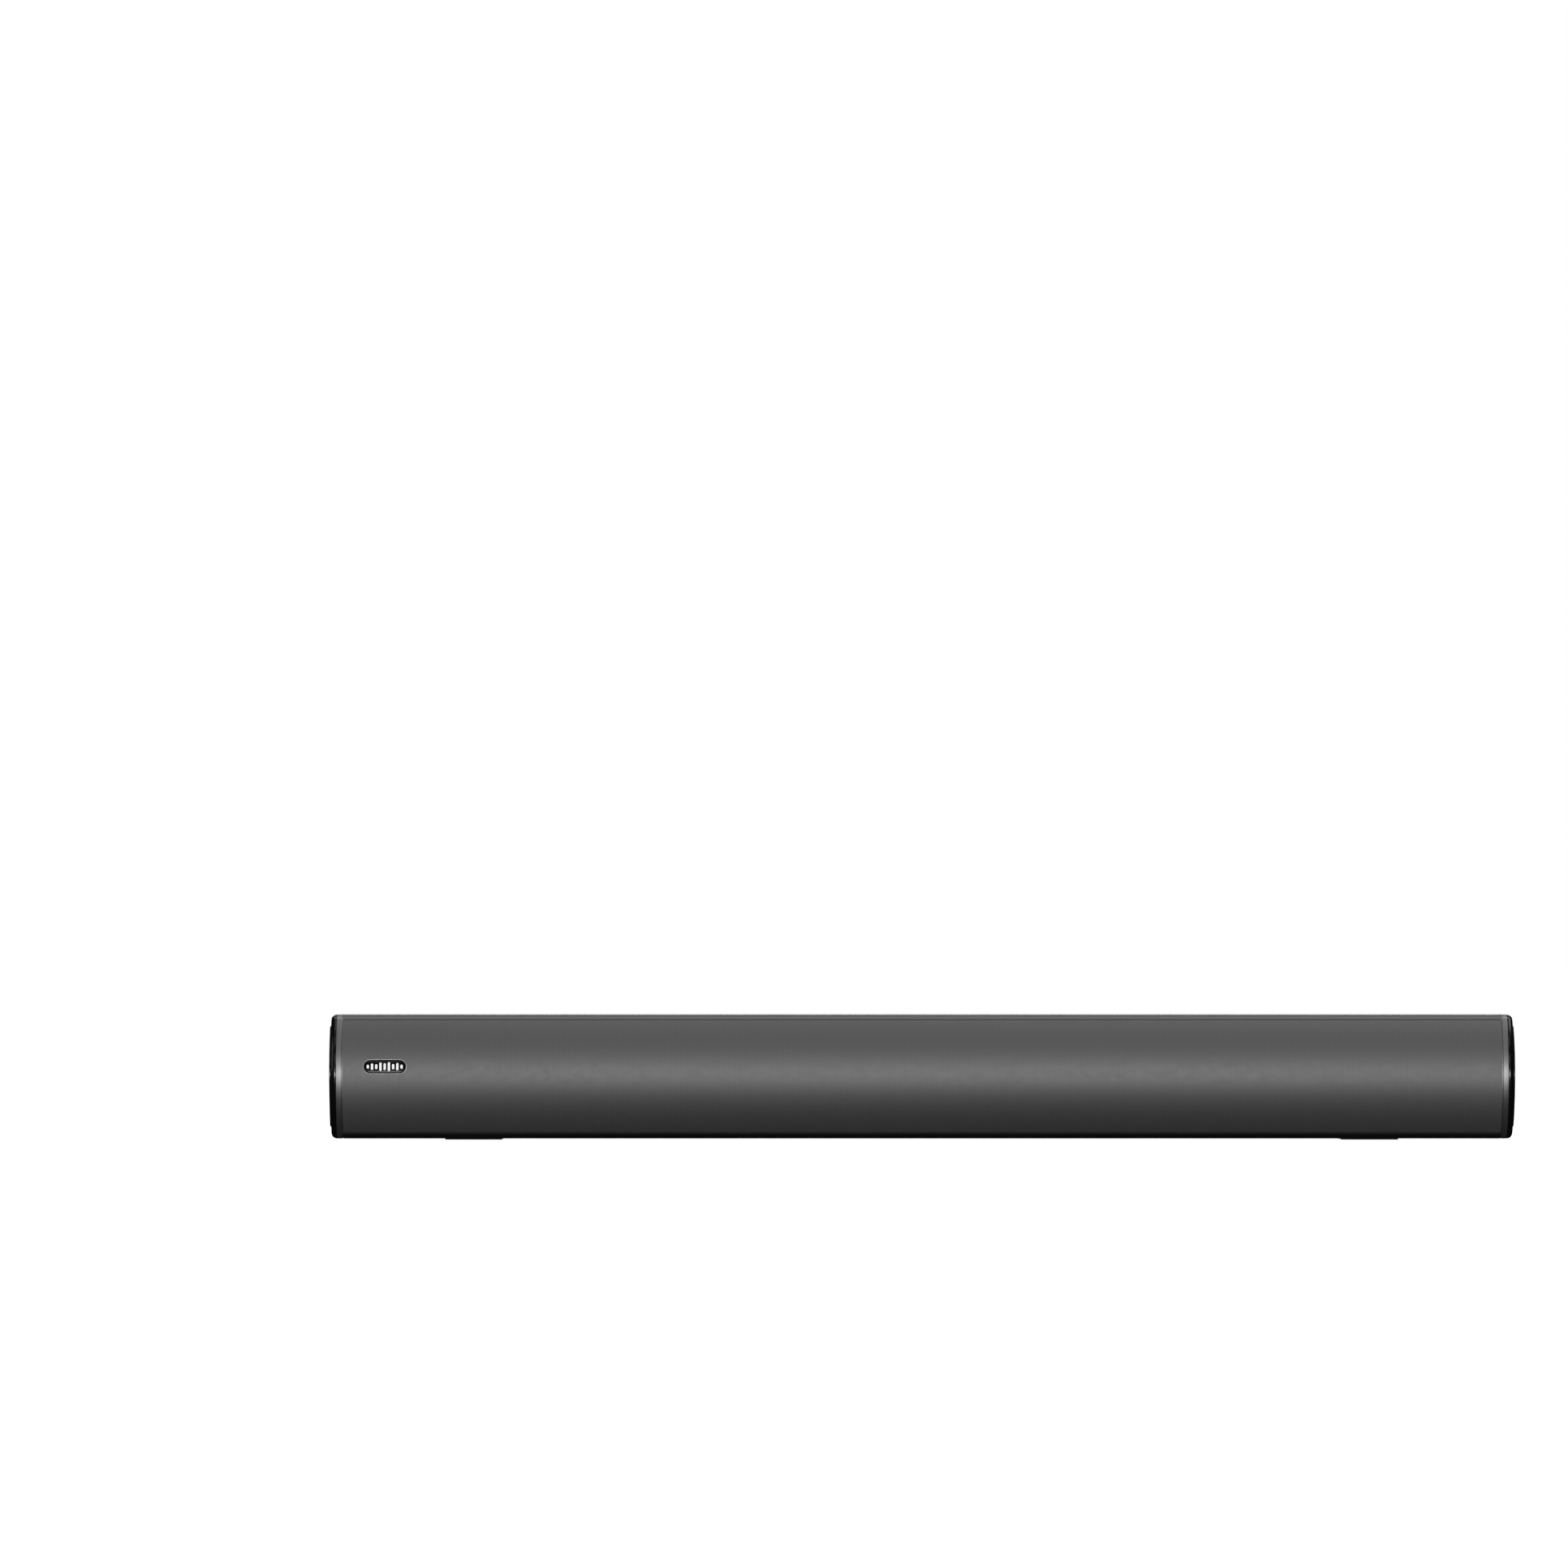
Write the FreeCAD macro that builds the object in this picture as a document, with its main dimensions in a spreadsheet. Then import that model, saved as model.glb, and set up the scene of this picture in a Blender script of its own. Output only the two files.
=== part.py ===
import FreeCAD, Part

import math
import os

import Sketcher

# A living-room soundbar: two full-range drivers behind a curved perforated grille, a control panel
# on top, a recess with the sockets at the back, and a collar, cap and trim plate at each end.
# Millimetres. +X is the listener's right, -Y the front, +Z up; the origin is the middle of the
# footprint, on the surface that the bar stands on.

doc = FreeCAD.newDocument("soundbar")
sheet = doc.addObject("Spreadsheet::Sheet", "sizes")

DRIVING_SIZES = {
    # the casing
    "length": 620,
    "height": 65,
    "depth": 72,
    "foot_height": 0.7,
    "wall": 2.5,
    "front_radius": 45,
    "edge_radius": 8,
    "rear_radius": 8,
    "fit": 0.2,
    "slack": 0.05,
    "lap_height": 1.5,
    "rib_depth": 5,
    "rib_thick": 1.8,
    # the two ends
    "groove_width": 0.5,
    "groove_depth": 0.8,
    "collar_width": 2.9,
    "collar_thick": 4.2,
    "rim_reach": 3,
    "cap_width": 3,
    "cap_round": 2.7,
    "plate_border": 6.2,
    "plate_sink": 1,
    "plate_proud": 0.8,
    "plate_round": 0.4,
    "locator_reach": 2.4,
    # the screws that close the casing
    "screw_inner": 130,
    "screw_outer": 280,
    "post_gap": 1.63,
    "screw_rear": 10,
    "post_radius": 4.5,
    "counterbore_radius": 3.3,
    "counterbore_depth": 19,
    "casing_screw_radius": 1.5,
    "screw_grip": 12,
    # the screws that hold the end caps
    "end_screw_inset": 8,
    "end_screw_front": 28,
    "end_screw_rear": 14,
    "end_block": 8,
    "end_block_length": 20,
    "end_post_radius": 3.2,
    "end_screw_radius": 1.25,
    "end_screw_grip": 8,
    # the front
    "grille_thick": 0.8,
    "grille_gap": 0.12,
    "cloth_thick": 0.4,
    "baffle_thick": 3,
    "rail_thick": 1.7,
    "badge_width": 22.9,
    "badge_height": 7.8,
    "badge_proud": 0.4,
    "badge_from_end": 29.4,
    "badge_rise": 5.2,
    # the drivers
    "driver_spacing": 410,
    "frame_gap": 0.24,
    "driver_hole": 24.6,
    "driver_screw_pitch": 43,
    "driver_screw_radius": 1.2,
    "gasket_thick": 0.5,
    "flange_thick": 1.5,
    "basket_wall": 0.8,
    "basket_depth": 15,
    "shelf_depth": 9,
    "shelf_radius": 17,
    "cone_outer": 19.4,
    "cone_depth": 8,
    "cone_thick": 0.8,
    "roll_width": 4.2,
    "roll_thick": 0.5,
    "dome_radius": 9,
    "dome_rise": 2.95,
    "coil_radius": 6.6,
    "former_thick": 0.25,
    "winding_thick": 0.2,
    "winding_length": 4,
    "coil_gap": 0.3,
    "top_plate_radius": 14,
    "top_plate_thick": 3,
    "magnet_radius": 16,
    "magnet_bore": 9.5,
    "magnet_thick": 8,
    "yoke_thick": 3,
    "lug_reach": 24,
    # the control panel and its keys
    "panel_length": 96,
    "panel_width": 22,
    "panel_from_back": 34,
    "panel_drop": 0.15,
    "panel_lip": 2,
    "panel_lip_thick": 1,
    "panel_corner": 3,
    "button_pitch": 20,
    "button_radius": 5.4,
    "button_travel": 0.6,
    "key_board_length": 124,
    "key_board_width": 18,
    "key_board_drop": 7,
    "key_post": 56,
    "key_board_thick": 1.2,
    "switch_size": 6,
    "switch_height": 3.2,
    "stem_radius": 1.6,
    # the main board and the socket recess
    "board_length": 150,
    "board_width": 38,
    "board_thick": 1.6,
    "board_rise": 10,
    "board_post": 66,
    "recess_length": 124,
    "recess_height": 21,
    "recess_bottom": 9,
    "recess_depth": 9,
    "recess_corner": 2.5,
    "tray_wall": 1.6,
    "tray_flange": 3,
    "socket_pitch": 23,
    "socket_depth": 14,
    "jack_radius": 1.8,
    "jack_depth": 12,
    "plug_radius": 2.8,
    "plug_depth": 9.5,
    "pin_radius": 1.05,
    "partition_offset": 85,
    "partition_thick": 2.5,
    "vent_width": 2,
    "vent_length": 10,
    "vent_pitch": 6,
    # fixings outside
    "foot_length": 30,
    "foot_width": 9,
    "foot_sink": 1.2,
    "foot_corner": 3,
    "foot_offset": 235,
    "foot_front": 26,
    "foot_rear": 16,
    "keyhole_spacing": 320,
    "keyhole_entry": 4.5,
    "keyhole_slot": 2.25,
    "keyhole_lift": 8,
    "keyhole_drop": 21.5,
    "cup_width": 24,
    "cup_height": 20,
    "cup_depth": 6.5,
    "cup_wall": 1.2,
    "wire_radius": 1.1,
}

for row, (alias, number) in enumerate(DRIVING_SIZES.items(), start=1):
    sheet.set(f"A{row}", alias)
    sheet.set(f"B{row}", str(number))
    sheet.setAlias(f"B{row}", alias)
doc.recompute()


class Size:
    """A length that carries its value and its formula in the sheet's cells."""

    def __init__(self, value, text):
        self.value = value
        self.text = text

    def __add__(self, other):
        other = as_size(other)
        return Size(self.value + other.value, f"({self.text} + {other.text})")

    def __radd__(self, other):
        return as_size(other) + self

    def __sub__(self, other):
        other = as_size(other)
        return Size(self.value - other.value, f"({self.text} - {other.text})")

    def __rsub__(self, other):
        return as_size(other) - self

    def __mul__(self, other):
        other = as_size(other)
        return Size(self.value * other.value, f"({self.text} * {other.text})")

    def __rmul__(self, other):
        return as_size(other) * self

    def __truediv__(self, other):
        other = as_size(other)
        return Size(self.value / other.value, f"({self.text} / {other.text})")

    def __neg__(self):
        return self * -1


def as_size(number):
    """A plain number as a Size, so that formulas can mix the two."""
    if isinstance(number, Size):
        return number
    return Size(float(number), f"({number})")


def root(size):
    """Square root of a Size."""
    return Size(math.sqrt(size.value), f"sqrt({size.text})")


class Cells:
    """Gives each driving size by its name, as in S.length."""

    def __getattr__(self, name):
        return Size(float(sheet.get(name)), f"sizes.{name}")


S = Cells()

MID = S.foot_height + S.height / 2
TOP = S.foot_height + S.height
BACK = S.depth / 2
FRONT_CENTRE = S.badge_proud + S.front_radius - S.depth / 2
BODY_END = S.length / 2 - S.plate_proud - S.cap_width - S.collar_width - S.groove_width
CORE_END = BODY_END - S.rim_reach - S.fit
CORNER_RISE = S.height / 2 - S.edge_radius
CORNER_REACH = S.front_radius - S.edge_radius
CORNER_RUN = root(CORNER_REACH * CORNER_REACH - CORNER_RISE * CORNER_RISE)
CORNER_Y = FRONT_CENTRE - CORNER_RUN
BAFFLE_BACK = CORNER_Y + 1.2
BAFFLE_FRONT = BAFFLE_BACK - S.baffle_thick
SCREW_ROWS = (BAFFLE_BACK + S.post_radius + S.post_gap, BACK - S.screw_rear)
LIP_RISE = CORNER_RISE * (S.front_radius - S.wall) / CORNER_REACH
RAIL_HIGH = LIP_RISE - S.fit
RAIL_LOW = RAIL_HIGH - S.rail_thick
FRAME_HALF = RAIL_LOW - S.frame_gap
END_SCREW_ROWS = (S.end_screw_front - BACK, BACK - S.end_screw_rear)
FOOT_ROWS = (S.foot_front - BACK, BACK - S.foot_rear)
SIDES = {"left": -1, "right": 1}
RECESS_FLOOR = BACK - S.recess_depth
BOARD_REAR = RECESS_FLOOR - S.tray_wall - 0.4
BOARD_FRONT = BOARD_REAR - S.board_width
BOARD_SCREW_ROWS = (BOARD_FRONT + 8, BOARD_REAR - 17)
BOARD_UNDER = S.foot_height + S.wall + S.board_rise
BOARD_TOP = BOARD_UNDER + S.board_thick
PANEL_Y = BACK - S.panel_from_back
KEY_BOARD_TOP = TOP - S.wall - S.key_board_drop
SOCKET_FRONT = RECESS_FLOOR - S.socket_depth
VENT_ROWS = (-4, 10)
VENT_COUNT = 15
VENT_RUN = S.vent_pitch * (VENT_COUNT - 1)
WIRE_Y = BOARD_REAR - 8
WIRE_Z = BOARD_TOP + 2.5
RIBBON_Y = PANEL_Y + 4
END_HEAD = 1.2
BUTTON_FLANGE = 1.2
OPTICAL_BORE = 6.2
SHUTTER_THICK = 0.6
PIVOT_RADIUS = 0.5
LUG_DEPTH = 5.6
LUG_THICK = 1.2
SMALL = 0.01

pieces = []


# ---- how the pieces are drawn -----------------------------------------------------------------

NORMALS = {"YZ": "+x", "XZ": "-y", "XY": "+z"}
planes = {}


def bind(thing, name, size):
    """Ties a property to the sheet."""
    thing.setExpression(name, as_size(size).text)


def body_named(name):
    """An empty body that becomes the sub-part of this name."""
    body = doc.addObject("PartDesign::Body", name)
    body.Label = name
    pieces.append(body)
    return body


def sub_part(solid, name):
    """Takes a finished primitive or boolean as the sub-part of this name."""
    solid.Label = name
    pieces.append(solid)
    return solid


def sketch_on(body, plane, offset=0):
    """A sketch on one of the body's planes, this far along +X, +Y or +Z."""
    sketch = body.newObject("Sketcher::SketchObject", f"{body.Name}_sketch")
    role = f"{plane}_Plane"
    origin = [item for item in body.Origin.OriginFeatures if item.Role == role][0]
    sketch.AttachmentSupport = [(origin, "")]
    sketch.MapMode = "FlatFace"
    away = as_size(offset)
    if plane == "XZ":
        away = -away
    bind(sketch, "AttachmentOffset.Base.z", away)
    planes[sketch.Name] = plane
    return sketch


def fixed_point(geometry, position, point):
    """Rules that hold a sketch point at a place given by two sizes."""
    kinds = ("DistanceX", "DistanceY")
    return [
        (Sketcher.Constraint(kind, -1, 1, geometry, position, as_size(size).value), as_size(size))
        for kind, size in zip(kinds, point)
    ]


def apply_rules(sketch, rules):
    """Adds the rules to the sketch at once, and ties each size among them to the sheet."""
    first = sketch.ConstraintCount
    sketch.addConstraint([rule for rule, _ in rules])
    for index, (_, size) in enumerate(rules, start=first):
        if size is not None:
            bind(sketch, f"Constraints[{index}]", size)


def arc_between(start, end, radius):
    """Arc from start to end; a positive radius turns left, a negative one turns right."""
    chord = end - start
    half = chord.Length / 2
    lift = math.sqrt(max(radius * radius - half * half, 0))
    left = FreeCAD.Vector(-chord.y, chord.x, 0).normalize()
    centre = (start + end) / 2 + left * math.copysign(lift, radius)
    first, last = (start, end) if radius > 0 else (end, start)
    from_angle = math.atan2(first.y - centre.y, first.x - centre.x)
    to_angle = math.atan2(last.y - centre.y, last.x - centre.x)
    if to_angle <= from_angle:
        to_angle += 2 * math.pi
    circle = Part.Circle(centre, FreeCAD.Vector(0, 0, 1), abs(radius))
    return Part.ArcOfCircle(circle, from_angle, to_angle)


def outline(sketch, corners, bends=None):
    """Closed outline through the corners, in order round it.

    bends gives the radius of each side that is round, by the index of its first corner: positive
    where the way round turns left, negative where it turns right.
    """
    bends = bends or {}
    places = [FreeCAD.Vector(as_size(x).value, as_size(y).value, 0) for x, y in corners]
    sides = []
    for index, start in enumerate(places):
        end = places[(index + 1) % len(places)]
        if index in bends:
            radius = as_size(bends[index])
            number = sketch.addGeometry(arc_between(start, end, radius.value), False)
            sides.append((number, 1, 2) if radius.value > 0 else (number, 2, 1))
        else:
            number = sketch.addGeometry(Part.LineSegment(start, end), False)
            sides.append((number, 1, 2))
    rules = []
    for index, corner in enumerate(corners):
        number, first, _ = sides[index]
        before, _, last = sides[index - 1]
        rules.append((Sketcher.Constraint("Coincident", before, last, number, first), None))
        rules += fixed_point(number, first, corner)
    for index, radius in bends.items():
        radius = as_size(radius)
        size = radius if radius.value > 0 else -radius
        rules.append((Sketcher.Constraint("Radius", sides[index][0], size.value), size))
    apply_rules(sketch, rules)


def circle(sketch, centre, radius):
    """Full circle in a sketch."""
    middle = FreeCAD.Vector(as_size(centre[0]).value, as_size(centre[1]).value, 0)
    radius = as_size(radius)
    ring = Part.Circle(middle, FreeCAD.Vector(0, 0, 1), radius.value)
    number = sketch.addGeometry(ring, False)
    size_rule = (Sketcher.Constraint("Radius", number, radius.value), radius)
    apply_rules(sketch, fixed_point(number, 3, centre) + [size_rule])


def rectangle(sketch, low, high, radius=None):
    """Rectangle from its low corner to its high one, with round corners if a radius is given."""
    (x0, y0), (x1, y1) = low, high
    if radius is None:
        outline(sketch, [(x0, y0), (x1, y0), (x1, y1), (x0, y1)])
        return
    corners = [
        (x0 + radius, y0),
        (x1 - radius, y0),
        (x1, y0 + radius),
        (x1, y1 - radius),
        (x1 - radius, y1),
        (x0 + radius, y1),
        (x0, y1 - radius),
        (x0, y0 + radius),
    ]
    outline(sketch, corners, {1: radius, 3: radius, 5: radius, 7: radius})


def add_feature(body, kind, sketch, length, reverse, both_ways):
    """Pad or pocket of a sketch, checked by the volume that it leaves."""
    before = body.Shape.Volume if body.Tip else 0
    feature = body.newObject(f"PartDesign::{kind}", f"{body.Name}_{kind.lower()}")
    feature.Profile = sketch
    feature.Reversed = reverse
    if both_ways:
        feature.SideType = "Symmetric"
    bind(feature, "Length", length)
    doc.recompute()
    change = body.Shape.Volume - before
    if kind == "Pad" and change < SMALL or kind == "Pocket" and change > -SMALL:
        raise RuntimeError(f"{feature.Name} changed the volume by {change}")
    return feature


def pad(body, sketch, length, towards=None):
    """Adds the sketch's shape, towards one side, or both ways from the sketch if none is given."""
    normal = NORMALS[planes[sketch.Name]]
    return add_feature(body, "Pad", sketch, length, towards not in (None, normal), towards is None)


def pocket(body, sketch, depth, towards=None):
    """Cuts the sketch's shape out, towards one side, or both ways from the sketch."""
    normal = NORMALS[planes[sketch.Name]]
    return add_feature(body, "Pocket", sketch, depth, towards == normal, towards is None)


def turn(body, profile, axis, bends=None, plane=None):
    """Solid of revolution about the body's own axis, from a profile of (radius, height)."""
    sketch = sketch_on(body, plane or {"Y_Axis": "XY", "Z_Axis": "XZ"}[axis])
    outline(sketch, profile, bends)
    feature = body.newObject("PartDesign::Revolution", f"{body.Name}_turned")
    feature.Profile = sketch
    line = [item for item in body.Origin.OriginFeatures if item.Role == axis][0]
    feature.ReferenceAxis = (line, [""])
    feature.Angle = 360
    doc.recompute()
    return feature


def round_edges(body, radius, chosen):
    """Rounds the edges that the test picks."""
    base = body.Tip
    names = [f"Edge{n}" for n, edge in enumerate(base.Shape.Edges, start=1) if chosen(edge)]
    feature = body.newObject("PartDesign::Fillet", f"{body.Name}_fillet")
    feature.Base = (base, names)
    bind(feature, "Radius", radius)
    doc.recompute()
    return feature


def repeat_along_x(body, feature, run, count):
    """Repeats a feature in an even row that is this long from first to last."""
    row = body.newObject("PartDesign::LinearPattern", f"{body.Name}_row")
    row.Originals = [feature]
    line = [item for item in body.Origin.OriginFeatures if item.Role == "X_Axis"][0]
    row.Direction = (line, [""])
    row.Occurrences = count
    bind(row, "Length", run)
    body.Tip = row
    before = body.Shape.Volume
    doc.recompute()
    if abs(body.Shape.Volume - before) < SMALL:
        raise RuntimeError(f"{row.Name} changed nothing")


def place(solid, point, turned=None):
    """Puts a solid at a point, turned first if a rotation is given."""
    if turned is not None:
        solid.Placement = FreeCAD.Placement(FreeCAD.Vector(), turned)
    for letter, size in zip("xyz", point):
        bind(solid, f"Placement.Base.{letter}", size)


def block(name, low, high):
    """Box between two corners."""
    solid = doc.addObject("Part::Box", name)
    for side, bottom, top in zip(("Length", "Width", "Height"), low, high):
        bind(solid, side, as_size(top) - bottom)
    place(solid, low)
    return solid


AXES = {
    "+x": FreeCAD.Rotation(FreeCAD.Vector(0, 1, 0), 90),
    "-x": FreeCAD.Rotation(FreeCAD.Vector(0, 1, 0), -90),
    "+y": FreeCAD.Rotation(FreeCAD.Vector(1, 0, 0), -90),
    "-y": FreeCAD.Rotation(FreeCAD.Vector(1, 0, 0), 90),
    "+z": FreeCAD.Rotation(),
    "-z": FreeCAD.Rotation(FreeCAD.Vector(1, 0, 0), 180),
}


def rod(name, start, radius, length, towards):
    """Cylinder from the middle of one end, towards one side."""
    solid = doc.addObject("Part::Cylinder", name)
    bind(solid, "Radius", radius)
    bind(solid, "Height", length)
    place(solid, start, AXES[towards])
    return solid


def fuse(name, solids):
    """Joins solids into one."""
    joined = doc.addObject("Part::MultiFuse", name)
    joined.Shapes = solids
    return joined


def group(name, solids):
    """Keeps solids separate in one sub-part."""
    kept = doc.addObject("Part::Compound", name)
    kept.Links = solids
    return kept


def cut(name, base, tools):
    """Takes the tools out of the base, and checks that they took something."""
    tool = tools[0] if len(tools) == 1 else fuse(f"{name}_tools", tools)
    less = doc.addObject("Part::Cut", name)
    less.Base = base
    less.Tool = tool
    doc.recompute()
    if base.Shape.Volume - less.Shape.Volume < SMALL:
        raise RuntimeError(f"{name} cut nothing")
    return less


# ---- the casing's cross-section ---------------------------------------------------------------


def tangent_point(inset, up):
    """Where the front arc meets the corner arc, with the outline moved in by the inset."""
    share = (S.front_radius - inset) / CORNER_REACH
    return FRONT_CENTRE - CORNER_RUN * share, MID + CORNER_RISE * share * up


def casing_outline(sketch, inset):
    """The whole section: curved front, two front corners, flat bottom, back and top."""
    rear = S.rear_radius - inset
    corner = S.edge_radius - inset
    low = S.foot_height + inset
    high = TOP - inset
    behind = BACK - inset
    corners = [
        tangent_point(inset, 1),
        tangent_point(inset, -1),
        (CORNER_Y, low),
        (BACK - S.rear_radius, low),
        (behind, low + rear),
        (behind, high - rear),
        (BACK - S.rear_radius, high),
        (CORNER_Y, high),
    ]
    outline(sketch, corners, {0: S.front_radius - inset, 1: corner, 3: rear, 5: rear, 7: corner})


def shell_section(sketch, up, edge, lap_inset, lap_top):
    """Half of the casing's wall, on the upper (up = 1) or lower (up = -1) side of the seam.

    edge is the height of its seam face and lap_inset, lap_top describe the stepped lap there.
    """
    flat = TOP if up > 0 else S.foot_height
    rear_flat = flat - up * S.rear_radius
    inner = BACK - S.wall
    lip_y, lip_z = tangent_point(0, up)
    lip_in_y, lip_in_z = tangent_point(S.wall, up)
    corners = [
        (BACK, edge),
        (BACK, rear_flat),
        (BACK - S.rear_radius, flat),
        (CORNER_Y, flat),
        (lip_y, lip_z),
        (lip_in_y, lip_in_z),
        (CORNER_Y, flat - up * S.wall),
        (BACK - S.rear_radius, flat - up * S.wall),
        (inner, rear_flat),
        (inner, lap_top),
        (BACK - lap_inset, lap_top),
        (BACK - lap_inset, edge),
    ]
    bends = {
        1: S.rear_radius * up,
        3: S.edge_radius * up,
        5: (S.wall - S.edge_radius) * up,
        7: (S.wall - S.rear_radius) * up,
    }
    outline(sketch, corners, bends)


def end_blocks(body, up):
    """Solid corners near both ends, which take the end caps' screws."""
    flat = TOP if up > 0 else S.foot_height
    centre = flat - up * S.end_screw_inset
    edge = centre - up * S.end_block / 2
    root_edge = flat - up * S.wall / 2
    low, high = (edge, root_edge) if up > 0 else (root_edge, edge)
    for side in SIDES.values():
        outward = "+x" if side > 0 else "-x"
        inward = "-x" if side > 0 else "+x"
        sketch = sketch_on(body, "YZ", side * CORE_END)
        for y in END_SCREW_ROWS:
            rectangle(sketch, (y - S.end_block / 2, low), (y + S.end_block / 2, high))
        pad(body, sketch, S.end_block_length, inward)
        holes = sketch_on(body, "YZ", side * (CORE_END - S.end_screw_grip - 1))
        for y in END_SCREW_ROWS:
            circle(holes, (y, centre), S.end_screw_radius + S.slack)
        pocket(body, holes, S.end_screw_grip + 2, outward)


def make_upper_housing():
    """Top cover: shell, ribs, screw posts, panel opening and the keyholes in the back."""
    body = body_named("upper_housing")
    shell = sketch_on(body, "YZ")
    shell_section(shell, 1, MID + S.slack, S.wall / 2 - S.fit / 2, MID + S.lap_height + S.fit)
    pad(body, shell, 2 * BODY_END)
    rib = sketch_on(body, "YZ")
    rib_y = BAFFLE_BACK + S.fit
    rectangle(rib, (rib_y, TOP - S.wall - S.rib_depth), (rib_y + S.rib_thick, TOP - S.wall / 2))
    pad(body, rib, 2 * CORE_END)
    posts = sketch_on(body, "XY", MID + S.slack)
    for x in (-S.screw_outer, -S.screw_inner, S.screw_inner, S.screw_outer):
        for y in SCREW_ROWS:
            circle(posts, (x, y), S.post_radius)
    pad(body, posts, S.height / 2 - S.wall / 2, "+z")
    pilots = sketch_on(body, "XY", MID + S.slack)
    for x in (-S.screw_outer, -S.screw_inner, S.screw_inner, S.screw_outer):
        for y in SCREW_ROWS:
            circle(pilots, (x, y), S.casing_screw_radius + S.slack)
    pocket(body, pilots, S.screw_grip, "+z")
    end_blocks(body, 1)
    opening = sketch_on(body, "XY", TOP + 1)
    gap = S.fit
    rectangle(
        opening,
        (-S.panel_length / 2 - gap, PANEL_Y - S.panel_width / 2 - gap),
        (S.panel_length / 2 + gap, PANEL_Y + S.panel_width / 2 + gap),
        S.panel_corner + gap,
    )
    pocket(body, opening, S.wall + 2, "-z")
    key_posts = sketch_on(body, "XY", KEY_BOARD_TOP)
    for x in (-S.key_post, S.key_post):
        circle(key_posts, (x, PANEL_Y), 2.8)
    pad(body, key_posts, S.key_board_drop + S.wall / 2, "+z")
    key_pilots = sketch_on(body, "XY", KEY_BOARD_TOP)
    for x in (-S.key_post, S.key_post):
        circle(key_pilots, (x, PANEL_Y), S.end_screw_radius + S.slack)
    pocket(body, key_pilots, 6.5, "+z")
    entry = sketch_on(body, "XZ", BACK + 1)
    for x in (-S.keyhole_spacing / 2, S.keyhole_spacing / 2):
        circle(entry, (x, TOP - S.keyhole_drop), S.keyhole_entry)
    pocket(body, entry, S.wall + 2, "-y")
    slot = sketch_on(body, "XZ", BACK + 1)
    for x in (-S.keyhole_spacing / 2, S.keyhole_spacing / 2):
        low = (x - S.keyhole_slot, TOP - S.keyhole_drop)
        high = (x + S.keyhole_slot, TOP - S.keyhole_drop + S.keyhole_lift + S.keyhole_slot)
        rectangle(slot, low, high, S.keyhole_slot - S.fit)
    pocket(body, slot, S.wall + 2, "-y")


def make_lower_housing():
    """Bottom tray: shell, ribs, screw posts, board posts, vents, foot and socket recesses."""
    body = body_named("lower_housing")
    shell = sketch_on(body, "YZ")
    shell_section(shell, -1, MID, S.wall / 2 + S.fit / 2, MID + S.lap_height)
    pad(body, shell, 2 * BODY_END)
    floor = S.foot_height + S.wall
    rib = sketch_on(body, "YZ")
    rib_y = BAFFLE_BACK + S.fit
    rectangle(rib, (rib_y, floor - S.wall / 2), (rib_y + S.rib_thick, floor + S.rib_depth))
    pad(body, rib, 2 * CORE_END)
    posts = sketch_on(body, "XY", MID)
    bores = sketch_on(body, "XY", MID + 1)
    heads = sketch_on(body, "XY", S.foot_height - 1)
    for x in (-S.screw_outer, -S.screw_inner, S.screw_inner, S.screw_outer):
        for y in SCREW_ROWS:
            circle(posts, (x, y), S.post_radius)
            circle(bores, (x, y), S.casing_screw_radius + S.fit)
            circle(heads, (x, y), S.counterbore_radius)
    pad(body, posts, S.height / 2 - S.wall / 2, "-z")
    pocket(body, bores, S.height / 2 + 2, "-z")
    pocket(body, heads, S.counterbore_depth + 1, "+z")
    end_blocks(body, -1)
    feet = sketch_on(body, "XY", S.foot_height - 1)
    for x in (-S.foot_offset, S.foot_offset):
        for y in FOOT_ROWS:
            low = (x - S.foot_length / 2 - S.slack, y - S.foot_width / 2 - S.slack)
            high = (x + S.foot_length / 2 + S.slack, y + S.foot_width / 2 + S.slack)
            rectangle(feet, low, high, S.foot_corner + S.slack)
    pocket(body, feet, S.foot_sink + 1, "+z")
    board_posts = sketch_on(body, "XY", floor - S.wall / 2)
    board_pilots = sketch_on(body, "XY", floor + S.board_rise)
    for x in (-S.board_post, S.board_post):
        for y in BOARD_SCREW_ROWS:
            circle(board_posts, (x, y), 3)
            circle(board_pilots, (x, y), S.end_screw_radius + S.slack)
    pad(body, board_posts, S.board_rise + S.wall / 2, "+z")
    pocket(body, board_pilots, S.board_rise - 0.5, "-z")
    vents = sketch_on(body, "XY", S.foot_height - 1)
    for y in VENT_ROWS:
        low = (-VENT_RUN / 2 - S.vent_width / 2, y - S.vent_length / 2)
        high = (-VENT_RUN / 2 + S.vent_width / 2, y + S.vent_length / 2)
        rectangle(vents, low, high)
    first_vent = pocket(body, vents, S.wall + 2, "+z")
    repeat_along_x(body, first_vent, VENT_RUN, VENT_COUNT)
    opening = sketch_on(body, "XZ", BACK + 1)
    low = (-S.recess_length / 2, S.recess_bottom)
    high = (S.recess_length / 2, S.recess_bottom + S.recess_height)
    rectangle(opening, low, high, S.recess_corner)
    pocket(body, opening, S.wall + 2, "-y")


# ---- the front --------------------------------------------------------------------------------


def lip_point(inset, up, along):
    """Point beside the casing's lip: moved in from the surface, then along it towards the middle."""
    y, z = tangent_point(inset, up)
    return y - along * CORNER_RISE / CORNER_REACH, z - along * CORNER_RUN / CORNER_REACH * up


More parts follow.
